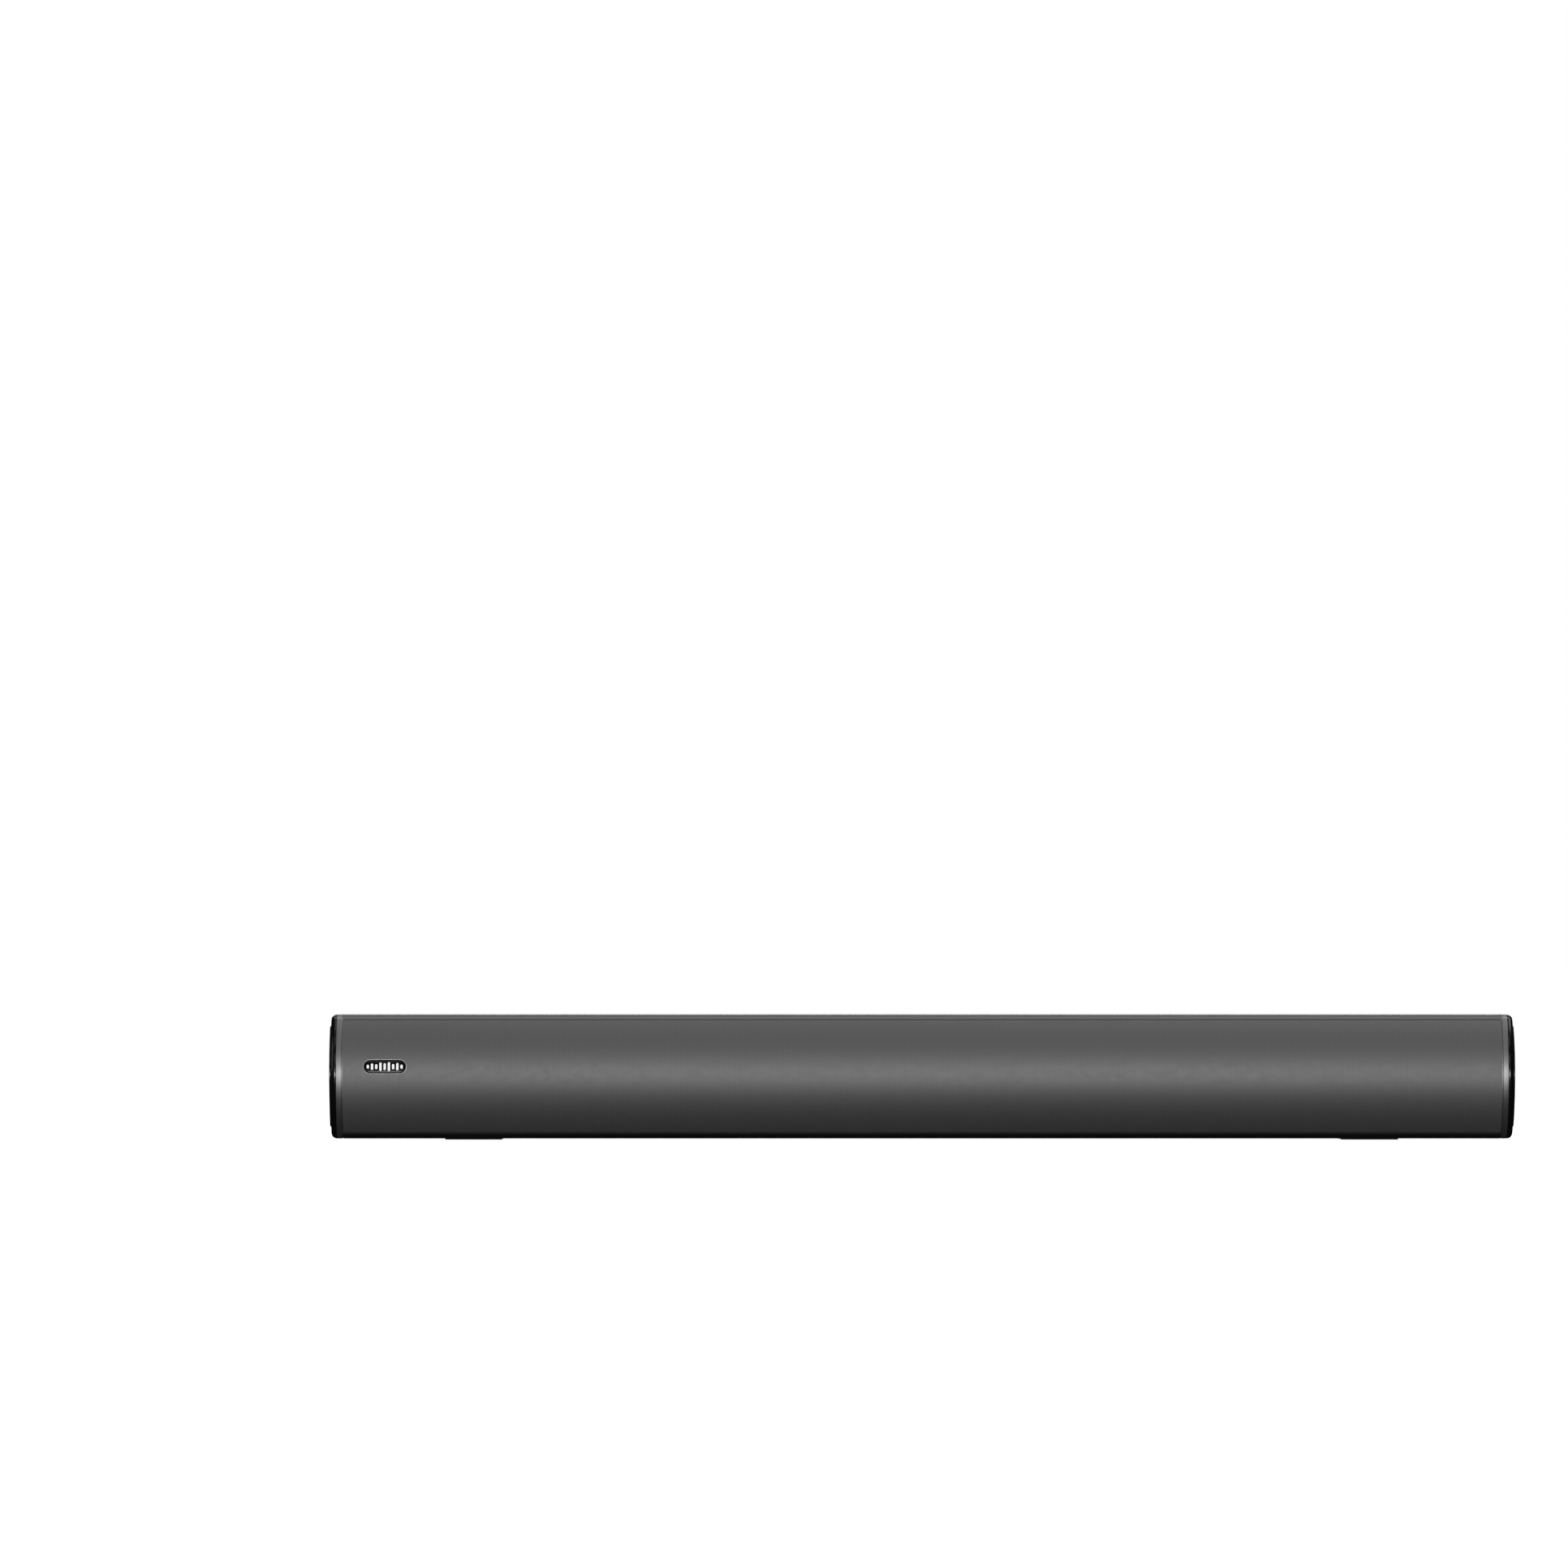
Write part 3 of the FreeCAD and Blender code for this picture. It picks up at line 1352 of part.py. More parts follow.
def wire_solid(points, radius):
    """Round wire along straight runs joined by tangent arcs; prints each bend's radius."""
    places = [FreeCAD.Vector(*point) for point in points]
    edges = []
    start = places[0]
    for before, corner, after in zip(places, places[1:], places[2:]):
        run_in = corner - before
        run_out = after - corner
        half_turn = run_in.getAngle(run_out) / 2
        setback = 0.45 * min(run_in.Length, run_out.Length)
        bend = setback / math.tan(half_turn)
        print(f"wire bend radius {bend:.1f}")
        enter = corner - run_in.normalize() * setback
        leave = corner + run_out.normalize() * setback
        bisector = (run_out - run_in).normalize()
        centre = corner + bisector * (bend / math.cos(half_turn))
        middle = centre - bisector * bend
        edges.append(Part.makeLine(start, enter))
        edges.append(Part.Arc(enter, middle, leave).toShape())
        start = leave
    edges.append(Part.makeLine(start, places[-1]))
    path = Part.Wire(edges)
    section = Part.Wire(Part.makeCircle(radius, places[0], places[1] - places[0]))
    tube = path.makePipeShell([section], True, True)
    share = tube.Volume / (math.pi * radius * radius * path.Length)
    if abs(share - 1) > 0.01:
        raise RuntimeError(f"the wire's volume is {share} of what its length gives")
    return tube


def make_speaker_wires():
    """One wire from the board to each driver, through the hole in the partition."""
    tubes = []
    end_y = (BAFFLE_FRONT - S.gasket_thick + LUG_DEPTH + LUG_THICK / 2).value
    for side in SIDES.values():
        start_x = (S.board_length / 2 - 2).value
        end_x = (S.driver_spacing / 2 - S.lug_reach).value
        route = [
            (start_x, WIRE_Y.value, WIRE_Z.value),
            (S.partition_offset.value + 10, WIRE_Y.value, WIRE_Z.value),
            (end_x - 58, WIRE_Y.value - 5, WIRE_Z.value + 1),
            (end_x - 32, WIRE_Y.value - 15, WIRE_Z.value + 7),
            (end_x - 18, WIRE_Y.value - 25, MID.value - 5),
            (end_x - 8, end_y, MID.value),
            (end_x - 0.1, end_y, MID.value),
        ]
        tubes.append(wire_solid([(side * x, y, z) for x, y, z in route], S.wire_radius.value))
    wires = doc.addObject("Part::Feature", "speaker_wires")
    wires.Shape = Part.makeCompound(tubes)
    sub_part(wires, "speaker_wires")


def make_key_ribbon():
    """Flat cable from the key board down to the main board."""
    low = (as_size(-5), RIBBON_Y - 0.15, BOARD_TOP + 5)
    high = (as_size(5), RIBBON_Y + 0.15, KEY_BOARD_TOP - S.key_board_thick)
    sub_part(block("key_ribbon", low, high), "key_ribbon")


def make_damping_pads():
    """Block of foam at the outer end of each speaker chamber."""
    pads = []
    for name, side in SIDES.items():
        near = side * (S.screw_outer - S.post_radius - 34)
        far = side * (S.screw_outer - S.post_radius - 2)
        left, right = (near, far) if side > 0 else (far, near)
        low = (left, as_size(-4), S.foot_height + S.wall + 6)
        high = (right, BACK - S.wall - 4, TOP - S.wall - 6)
        pads.append(block(f"{name}_foam", low, high))
    sub_part(group("damping_pads", pads), "damping_pads")


def make_rubber_feet():
    """Four rubber pads in shallow recesses under the bar."""
    body = body_named("rubber_feet")
    soles = sketch_on(body, "XY", 0)
    for x in (-S.foot_offset, S.foot_offset):
        for y in FOOT_ROWS:
            low = (x - S.foot_length / 2, y - S.foot_width / 2)
            high = (x + S.foot_length / 2, y + S.foot_width / 2)
            rectangle(soles, low, high, S.foot_corner)
    pad(body, soles, S.foot_height + S.foot_sink, "+z")


def screw(name, start, towards, head, shank):
    """Pan-head screw with a cross recess; start is the underside of its head."""
    head_radius, head_thick = head
    shank_radius, shank_length = shank
    axis = AXES[towards].multVec(FreeCAD.Vector(0, 0, 1))
    back = [as_size(value) - part * head_thick for value, part in zip(start, axis)]
    solid = fuse(f"{name}_blank", [
        rod(f"{name}_head", back, head_radius, head_thick, towards),
        rod(f"{name}_shank", start, shank_radius, shank_length, towards),
    ])
    arm = as_size(head_radius) * 0.6
    socket = []
    for angle in (0, 90):
        slot = doc.addObject("Part::Box", f"{name}_recess_{angle}")
        bind(slot, "Length", arm * 2)
        bind(slot, "Width", 0.5)
        bind(slot, "Height", as_size(head_thick) * 1.2)
        turned = AXES[towards] * FreeCAD.Rotation(FreeCAD.Vector(0, 0, 1), angle)
        corner = turned.multVec(FreeCAD.Vector(-1, 0, 0))
        shift = turned.multVec(FreeCAD.Vector(0, -0.25, 0))
        lift = axis * -0.6
        low = [
            middle + arm * reach + half_slot + as_size(head_thick) * rise
            for middle, reach, half_slot, rise in zip(back, corner, shift, lift)
        ]
        place(slot, low, turned)
        socket.append(slot)
    return cut(name, solid, socket)


def make_screws():
    """All screws: casing, end caps, drivers and boards."""
    long_screws = []
    shelf = S.foot_height + S.counterbore_depth
    shank_length = MID - shelf + S.screw_grip - 1
    for x in (-S.screw_outer, -S.screw_inner, S.screw_inner, S.screw_outer):
        for y in SCREW_ROWS:
            long_screws.append(screw(f"housing_screw_{len(long_screws)}", (x, y, shelf), "+z",
                                     (as_size(2.9), as_size(2)), (S.casing_screw_radius, shank_length)))
    sub_part(group("housing_screws", long_screws), "housing_screws")

    end_screws = []
    under = S.length / 2 - S.plate_proud - S.plate_sink - END_HEAD
    for side in SIDES.values():
        inward = "-x" if side > 0 else "+x"
        for y in END_SCREW_ROWS:
            for z in (S.foot_height + S.end_screw_inset, TOP - S.end_screw_inset):
                end_screws.append(screw(
                    f"end_cap_screw_{len(end_screws)}", (side * under, y, z), inward,
                    (S.end_screw_radius * 2, as_size(END_HEAD)),
                    (S.end_screw_radius, under - CORE_END + S.end_screw_grip),
                ))
    sub_part(group("end_cap_screws", end_screws), "end_cap_screws")

    driver_screws = []
    face = BAFFLE_FRONT - S.gasket_thick - S.flange_thick
    for side in SIDES.values():
        for x, z in driver_screw_places():
            driver_screws.append(screw(
                f"driver_screw_{len(driver_screws)}",
                (side * S.driver_spacing / 2 + x, face, MID + z), "+y",
                (S.driver_screw_radius * 2, as_size(1.2)),
                (S.driver_screw_radius, S.flange_thick + S.gasket_thick + S.baffle_thick + 1.5),
            ))
    sub_part(group("driver_screws", driver_screws), "driver_screws")

    board_screws = []
    grip = (S.end_screw_radius, S.board_thick + S.board_rise - 1)
    head = (S.end_screw_radius * 2, as_size(1.2))
    for x in (-S.board_post, S.board_post):
        for y in BOARD_SCREW_ROWS:
            start = (x, y, BOARD_TOP)
            board_screws.append(screw(f"board_screw_{len(board_screws)}", start, "-z", head, grip))
    grip = (S.end_screw_radius, S.key_board_thick + 6)
    for x in (-S.key_post, S.key_post):
        start = (x, PANEL_Y, KEY_BOARD_TOP - S.key_board_thick)
        board_screws.append(screw(f"board_screw_{len(board_screws)}", start, "+z", head, grip))
    sub_part(group("board_screws", board_screws), "board_screws")


def make_keyhole_cups():
    """Closed cups behind the keyholes, glued to the inside of the back wall."""
    cups = []
    inner = BACK - S.wall
    for name, side in SIDES.items():
        x = side * S.keyhole_spacing / 2
        half = S.cup_width / 2
        low_z = TOP - S.keyhole_drop - S.keyhole_entry - 2
        outer = block(f"{name}_cup_blank", (x - half, inner - S.cup_depth, low_z),
                      (x + half, inner, low_z + S.cup_height))
        hollow = block(
            f"{name}_cup_hollow",
            (x - half + S.cup_wall, inner - S.cup_depth + S.cup_wall, low_z + S.cup_wall),
            (x + half - S.cup_wall, inner + 1, low_z + S.cup_height - S.cup_wall),
        )
        cups.append(cut(f"{name}_cup", outer, [hollow]))
    sub_part(group("keyhole_cups", cups), "keyhole_cups")


def make_status_board():
    """Small board with three lamps, on the baffle behind the perforated front."""
    back = BAFFLE_FRONT
    board = block("status_board_blank", (as_size(-12), back - 1, MID - 5), (as_size(12), back, MID + 5))
    lamps = [
        rod(f"status_lamp_{index}", (as_size(7 * (index - 1)), back - 0.9, MID), 1.5, 2, "-y")
        for index in range(3)
    ]
    sub_part(fuse("status_board", [board] + lamps), "status_board")


make_upper_housing()
make_lower_housing()
make_front_grille()
make_grille_cloth()
make_badge()
make_front_baffle()
make_partitions()
for name in SIDES:
    make_basket(name)
    make_motor(name)
    make_moving_parts(name)
    make_suspension(name)
    make_end(name)
make_driver_gaskets()
make_control_panel()
for index, name in enumerate(BUTTONS):
    make_button(name, button_x(index))
make_key_board()
make_main_board()
make_board_parts()
make_heat_sink()
make_port_panel()
make_round_sockets()
make_slot_socket("hdmi_socket", (14.2, 4.8), 10, (11.4, 0.9), 0)
make_slot_socket("usb_socket", (12.8, 5.4), 12, (11.2, 1.8), 1)
make_optical_socket()
make_speaker_wires()
make_key_ribbon()
make_damping_pads()
make_rubber_feet()
make_screws()
make_keyhole_cups()
make_status_board()


def finish():
    """Checks every object and every sub-part, then writes the sub-parts' files."""
    doc.recompute()
    for item in doc.Objects:
        if "Invalid" in item.State or "Error" in item.State:
            raise RuntimeError(f"{item.Name} failed: {item.State}")
    for piece in pieces:
        if piece.Shape.isNull() or not piece.Shape.isValid():
            raise RuntimeError(f"{piece.Label} has no valid shape")
    os.makedirs("parts", exist_ok=True)
    for piece in pieces:
        piece.Shape.exportStep(f"parts/{piece.Label}.step")
        box = piece.Shape.BoundBox
        print(piece.Label, len(piece.Shape.Solids), "solids", round(piece.Shape.Volume, 1), "mm3", box)
    print(len(pieces), "sub-parts written")


finish()
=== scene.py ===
from math import asin, cos, pi, radians, sin

import bmesh
import bpy
import numpy as np
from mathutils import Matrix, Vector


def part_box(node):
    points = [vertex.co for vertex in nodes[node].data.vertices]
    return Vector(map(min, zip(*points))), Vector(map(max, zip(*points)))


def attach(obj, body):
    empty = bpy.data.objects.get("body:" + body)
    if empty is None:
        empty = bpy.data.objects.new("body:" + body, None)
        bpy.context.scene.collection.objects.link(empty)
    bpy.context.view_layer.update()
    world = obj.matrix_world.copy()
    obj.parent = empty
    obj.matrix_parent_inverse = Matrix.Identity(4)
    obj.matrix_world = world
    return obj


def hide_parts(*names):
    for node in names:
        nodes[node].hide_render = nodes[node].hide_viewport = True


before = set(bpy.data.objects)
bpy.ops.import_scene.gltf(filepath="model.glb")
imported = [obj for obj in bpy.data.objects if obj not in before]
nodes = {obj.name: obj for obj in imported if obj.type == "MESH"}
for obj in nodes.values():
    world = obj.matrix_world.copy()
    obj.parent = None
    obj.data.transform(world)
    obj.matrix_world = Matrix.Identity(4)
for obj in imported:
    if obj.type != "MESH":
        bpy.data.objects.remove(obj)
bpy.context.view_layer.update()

mm = 0.001

# ---- the two housings ---------------------------------------------------------------------------
# The casing is two injection-moulded ABS half shells, dark grey above and black below, joined at a
# stepped seam and closed by screws from underneath. Both have the fine spark-eroded texture of
# their mould, which keeps finger marks from showing.


def moulded_finish(name, colour, roughness, grain=0.3 * mm, depth=0.02 * mm, **sockets):
    """Principled material with a fine even grain.

    One noise of the grain's size raises the surface by depth, and a second one about 30 times
    larger moves the roughness up and down by a tenth, as handling and moulding leave it.
    """
    material = bpy.data.materials.new(name)
    material.use_nodes = True
    tree = material.node_tree
    shader = tree.nodes["Principled BSDF"]
    shader.inputs["Base Color"].default_value = (*colour, 1)
    for socket, value in sockets.items():
        shader.inputs[socket.replace("_", " ")].default_value = value
    place = tree.nodes.new("ShaderNodeTexCoord")
    fine = tree.nodes.new("ShaderNodeTexNoise")
    fine.inputs["Scale"].default_value = 1 / grain
    fine.inputs["Detail"].default_value = 2
    tree.links.new(place.outputs["Object"], fine.inputs["Vector"])
    bump = tree.nodes.new("ShaderNodeBump")
    bump.inputs["Distance"].default_value = depth
    bump.inputs["Strength"].default_value = 0.6
    tree.links.new(fine.outputs["Fac"], bump.inputs["Height"])
    tree.links.new(bump.outputs["Normal"], shader.inputs["Normal"])
    broad = tree.nodes.new("ShaderNodeTexNoise")
    broad.inputs["Scale"].default_value = 1 / (30 * grain)
    tree.links.new(place.outputs["Object"], broad.inputs["Vector"])
    wear = tree.nodes.new("ShaderNodeMapRange")
    wear.inputs["To Min"].default_value = roughness * 0.9
    wear.inputs["To Max"].default_value = min(1, roughness * 1.1)
    tree.links.new(broad.outputs["Fac"], wear.inputs["Value"])
    tree.links.new(wear.outputs["Result"], shader.inputs["Roughness"])
    return material


def dress(material, *names):
    """Gives carried-over CAD parts a finish."""
    for name in names:
        for slot in nodes[name].material_slots:
            slot.material = material


def piece(mesh, material, body, slot, *replaced):
    """Object at the origin that wears material, rides on body, and stands for CAD nodes."""
    made = bpy.data.objects.new(mesh.name, mesh)
    bpy.context.scene.collection.objects.link(made)
    mesh.materials.append(material)
    mesh.shade_smooth()
    mesh.set_sharp_from_angle(angle=radians(35))
    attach(made, body)
    if replaced:
        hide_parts(*replaced)
    return made


def moulded_copy(name, node, material, body, slot, edge=0.2 * mm):
    """Piece with a CAD part's shape and a soft radius on every edge.

    The loose triangles' points are rounded to a thousandth of a millimetre and joined where they
    are equal, flat neighbours are merged, and a bevel rounds each edge sharper than 30 degrees.
    """
    source = nodes[node].data
    points = np.empty(len(source.vertices) * 3)
    source.vertices.foreach_get("co", points)
    corners = np.empty(len(source.loops), int)
    source.loops.foreach_get("vertex_index", corners)
    lattice = np.round(points.reshape(-1, 3) / (0.001 * mm)).astype(np.int64)
    joined, place = np.unique(lattice, axis=0, return_inverse=True)
    faces = place.reshape(-1)[corners].reshape(-1, 3)
    whole = (faces != np.roll(faces, 1, axis=1)).all(axis=1)
    mesh = bpy.data.meshes.new(name)
    mesh.from_pydata((joined * 0.001 * mm).tolist(), [], faces[whole].tolist())
    work = bmesh.new()
    work.from_mesh(mesh)
    bmesh.ops.dissolve_limit(work, angle_limit=radians(0.5), verts=work.verts, edges=work.edges)
    work.to_mesh(mesh)
    work.free()
    made = piece(mesh, material, body, slot, node)
    rounding = made.modifiers.new("rounding", "BEVEL")
    rounding.width = edge
    rounding.segments = 2
    rounding.limit_method = "ANGLE"
    rounding.angle_limit = radians(30)
    rounding.use_clamp_overlap = False
    rounding.harden_normals = True


cover_plastic = moulded_finish("cover_plastic", (0.13, 0.13, 0.132), 0.36)
base_plastic = moulded_finish("base_plastic", (0.012, 0.012, 0.012), 0.5)
moulded_copy("cover", "upper_housing", cover_plastic, "casing", "cover_plastic")
moulded_copy("base", "lower_housing", base_plastic, "casing", "base_plastic")

# ---- the front grille ---------------------------------------------------------------------------
# One steel sheet 0.8 mm thick, punched with fine staggered holes, rolled to the front's curve and
# folded in along both long edges, then powder coated satin dark grey. It is pushed between the
# lips of the two housings and held by its folds.

TOP_Z = 65.7 * mm
BASE_Z = 0.7 * mm
MIDDLE_Z = (TOP_Z + BASE_Z) / 2
FRONT_CENTRE_Y = 9.4 * mm
FRONT_RADIUS = 45 * mm
CORNER_RADIUS = 8 * mm
CORNER_REACH = FRONT_RADIUS - CORNER_RADIUS
LIP_ANGLE = asin((TOP_Z - CORNER_RADIUS - MIDDLE_Z) / CORNER_REACH)


def surface(name, grid, wrap_rows=False, wrap_columns=False):
    """Quads over a grid of points, rows by columns.

    Point (i, j) joins (i + 1, j), (i + 1, j + 1) and (i, j + 1), and a wrapped direction joins its
    last line to its first. Poles stay as rings of equal points until close_mesh merges them.
    """
    rows, columns = grid.shape[:2]
    index = np.arange(rows * columns).reshape(rows, columns)
    if wrap_rows:
        index = np.vstack([index, index[:1]])
    if wrap_columns:
        index = np.hstack([index, index[:, :1]])
    corners = [index[:-1, :-1], index[1:, :-1], index[1:, 1:], index[:-1, 1:]]
    quads = np.stack(corners, axis=-1).reshape(-1, 4)
    mesh = bpy.data.meshes.new(name)
    mesh.from_pydata(grid.reshape(-1, 3).tolist(), [], quads.tolist())
    return mesh


def close_mesh(mesh, weld=1e-7):
    """Merges points nearer than weld, drops faces left without area, and turns faces outwards."""
    work = bmesh.new()
    work.from_mesh(mesh)
    bmesh.ops.remove_doubles(work, verts=work.verts, dist=weld)
    bmesh.ops.dissolve_degenerate(work, dist=weld, edges=work.edges)
    bmesh.ops.recalc_face_normals(work, faces=work.faces)
    work.to_mesh(mesh)
    work.free()


def close_ends(mesh):
    """Fills each open end of a swept wall with one flat face, then cleans the mesh."""
    work = bmesh.new()
    work.from_mesh(mesh)
    rims = [edge for edge in work.edges if edge.is_boundary]
    bmesh.ops.edgenet_fill(work, edges=rims)
    work.to_mesh(mesh)
    work.free()
    close_mesh(mesh)


def rounded_corners(points, radii, steps=5):
    """Closed polygon with its corners turned into arcs.

    At each corner both sides are left at radius times the tangent of half the turn, and the arc
    between these two points has its centre on the corner's bisector.
    """
    points = np.array(points, float)
    made = []
    for here, radius in enumerate(radii):
        corner = points[here]
        if radius == 0:
            made.append(corner[None])
            continue
        back = points[here - 1] - corner
        ahead = points[(here + 1) % len(points)] - corner
        back /= np.linalg.norm(back)
        ahead /= np.linalg.norm(ahead)
        half = np.arccos(np.clip(back @ ahead, -1, 1)) / 2
        bisector = (back + ahead) / np.linalg.norm(back + ahead)
        centre = corner + bisector * radius / np.sin(half)
        start = corner + back * radius / np.tan(half) - centre
        end = corner + ahead * radius / np.tan(half) - centre
        turn = np.linspace(0, 1, steps)[:, None]
        angle = np.pi - 2 * half
        arc = (np.sin((1 - turn) * angle) * start + np.sin(turn * angle) * end) / np.sin(angle)
        made.append(centre + arc)
    return np.vstack(made)


def grille_section():
    """Closed section of the rolled sheet, as (y, z).

    The front is an arc of the front radius between the two folds, the back is the same arc one
    sheet further in, and each fold runs in towards the middle of the arc.
    """
    sheet = 0.8 * mm
    fold = 2.5 * mm
    gap = 0.12 * mm
    bend = 0.7 * mm
    reach = LIP_ANGLE - (gap + bend) / FRONT_RADIUS
    front = np.linspace(-reach, reach, 121)
    turn = np.linspace(0, 1, 7)[1:] * pi / 2
    lip = LIP_ANGLE - gap / FRONT_RADIUS

    def polar(radius, angle):
        y = FRONT_CENTRE_Y - radius * np.cos(angle)
        z = MIDDLE_Z + radius * np.sin(angle)
        return np.stack([y, z], -1)

    bend_radius = FRONT_RADIUS - bend + bend * np.cos(turn)
    bend_angle = reach + bend * np.sin(turn) / FRONT_RADIUS
    inside = FRONT_RADIUS - sheet
    deep = FRONT_RADIUS - fold
    inner_lip = lip - sheet / deep
    upper = [
        polar(FRONT_RADIUS, front),
        polar(bend_radius, bend_angle),
        polar(deep, np.array([lip + (gap / FRONT_RADIUS - gap / deep)])),
        polar(deep, np.array([inner_lip])),
        polar(inside, np.array([LIP_ANGLE - (gap + sheet) / FRONT_RADIUS])),
    ]
    back = polar(inside, np.linspace(reach, -reach, 61)[1:-1])
    lower = [part[::-1] * [1, -1] + [0, 2 * MIDDLE_Z] for part in upper[1:]][::-1]
    return np.vstack([*upper, back, *lower])


grille_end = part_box("front_grille")[1][0]
section = grille_section()
along = np.linspace(-grille_end, grille_end, 61)
sides = np.stack([
    np.broadcast_to(along[:, None], (len(along), len(section))),
    np.broadcast_to(section[:, 0], (len(along), len(section))),
    np.broadcast_to(section[:, 1], (len(along), len(section))),
], -1)
grille_mesh = surface("grille", sides, wrap_columns=True)
close_ends(grille_mesh)


def perforated_paint():
    """Satin dark grey powder coat over staggered round holes.

    The arc height above the bar's middle (the angle about the front's centre times its radius) and
    the distance along the bar give a flat pair of coordinates. Two lattices, the square root of 3
    pitches along the bar by one pitch up, and one of them moved by half of each, give the staggered
    rows. A point nearer than the hole's radius to a lattice point is darker, as a hole is.
    """
    pitch = 0.9 * mm
    hole = 0.24 * mm
    paint = (0.21, 0.21, 0.211)
    hole_shade = (0.12, 0.12, 0.12)
    material = moulded_finish("grille_paint", paint, 0.52, 0.12 * mm, 0.004 * mm, Metallic=0.65)
    tree = material.node_tree
    shader = tree.nodes["Principled BSDF"]
    place = tree.nodes["Texture Coordinate"]
    split = tree.nodes.new("ShaderNodeSeparateXYZ")
    tree.links.new(place.outputs["Object"], split.inputs[0])

    def maths(operation, *values):
        node = tree.nodes.new("ShaderNodeMath")
        node.operation = operation
        for socket, value in zip(node.inputs, values):
            if isinstance(value, (int, float)):
                socket.default_value = value
            else:
                tree.links.new(value, socket)
        return node.outputs[0]

    up = maths("SUBTRACT", split.outputs["Z"], MIDDLE_Z)
    deep = maths("SUBTRACT", FRONT_CENTRE_Y, split.outputs["Y"])
    arc = maths("MULTIPLY", maths("ARCTAN2", up, deep), FRONT_RADIUS)

    def lattice(shift):
        """Distance to the nearest lattice point, with the lattice moved by shift of its steps."""
        offsets = []
        for value, step in ((split.outputs["X"], pitch * 3 ** 0.5), (arc, pitch)):
            turned = maths("ADD", maths("DIVIDE", value, step), shift)
            folded = maths("SUBTRACT", maths("FRACT", turned), 0.5)
            offsets.append(maths("MULTIPLY", folded, step))
        squares = [maths("POWER", offset, 2) for offset in offsets]
        return maths("SQRT", maths("ADD", *squares))

    nearest = maths("MINIMUM", lattice(0), lattice(0.5))
    edge = tree.nodes.new("ShaderNodeMapRange")
    edge.interpolation_type = "SMOOTHSTEP"
    edge.inputs["From Min"].default_value = hole * 0.8
    edge.inputs["From Max"].default_value = hole * 1.2
    tree.links.new(nearest, edge.inputs["Value"])
    mix = tree.nodes.new("ShaderNodeMix")
    mix.data_type = "RGBA"
    mix.inputs["A"].default_value = (*hole_shade, 1)
    mix.inputs["B"].default_value = (*paint, 1)
    tree.links.new(edge.outputs["Result"], mix.inputs["Factor"])
    tree.links.new(mix.outputs["Result"], shader.inputs["Base Color"])
    return material


piece(grille_mesh, perforated_paint(), "casing", "grille_steel", "front_grille")


def woven_cloth_painted_shade(name, colour, thread, roughness=0.85, depth=0.1 * mm):
    """Cloth whose surface rises where either of two sets of threads does.

    Each set is a sine band texture one thread apart, one set along the bar and one upright, and
    the larger of the two heights is the weave's. Its lower places are darker: painted shade between
    the threads.
    """
    material = moulded_finish(name, colour, roughness, thread, depth)
    tree = material.node_tree
    height = tree.nodes.new("ShaderNodeMath")
    height.operation = "MAXIMUM"
    for socket, direction in enumerate("XZ"):
        bands = tree.nodes.new("ShaderNodeTexWave")
        bands.bands_direction = direction
        bands.inputs["Scale"].default_value = pi / 10 / thread
        tree.links.new(tree.nodes["Texture Coordinate"].outputs["Object"], bands.inputs["Vector"])
        tree.links.new(bands.outputs["Fac"], height.inputs[socket])
    tree.links.new(height.outputs[0], tree.nodes["Bump"].inputs["Height"])
    # Painted shade: the base colour falls to four tenths of the cloth's colour where the weave is low.
    shade = tree.nodes.new("ShaderNodeMix")
    shade.data_type = "RGBA"
    shade.inputs["A"].default_value = (*(0.4 * part for part in colour), 1)
    shade.inputs["B"].default_value = (*colour, 1)
    tree.links.new(height.outputs[0], shade.inputs["Factor"])
    tree.links.new(shade.outputs["Result"], tree.nodes["Principled BSDF"].inputs["Base Color"])
    return material


dress(woven_cloth_painted_shade("acoustic_cloth", (0.015, 0.015, 0.015), 0.4 * mm), "grille_cloth")

# ---- the end collars ----------------------------------------------------------------------------
# A moulded band at each end, lacquered in dark metallic silver, with a narrow neck beside the
# housings that reads as a dark joint line. It hooks into the housings by an inner rim.

BACK_Y = 36 * mm
FRONT_CORNER_Y = FRONT_CENTRE_Y - CORNER_REACH * cos(LIP_ANGLE)


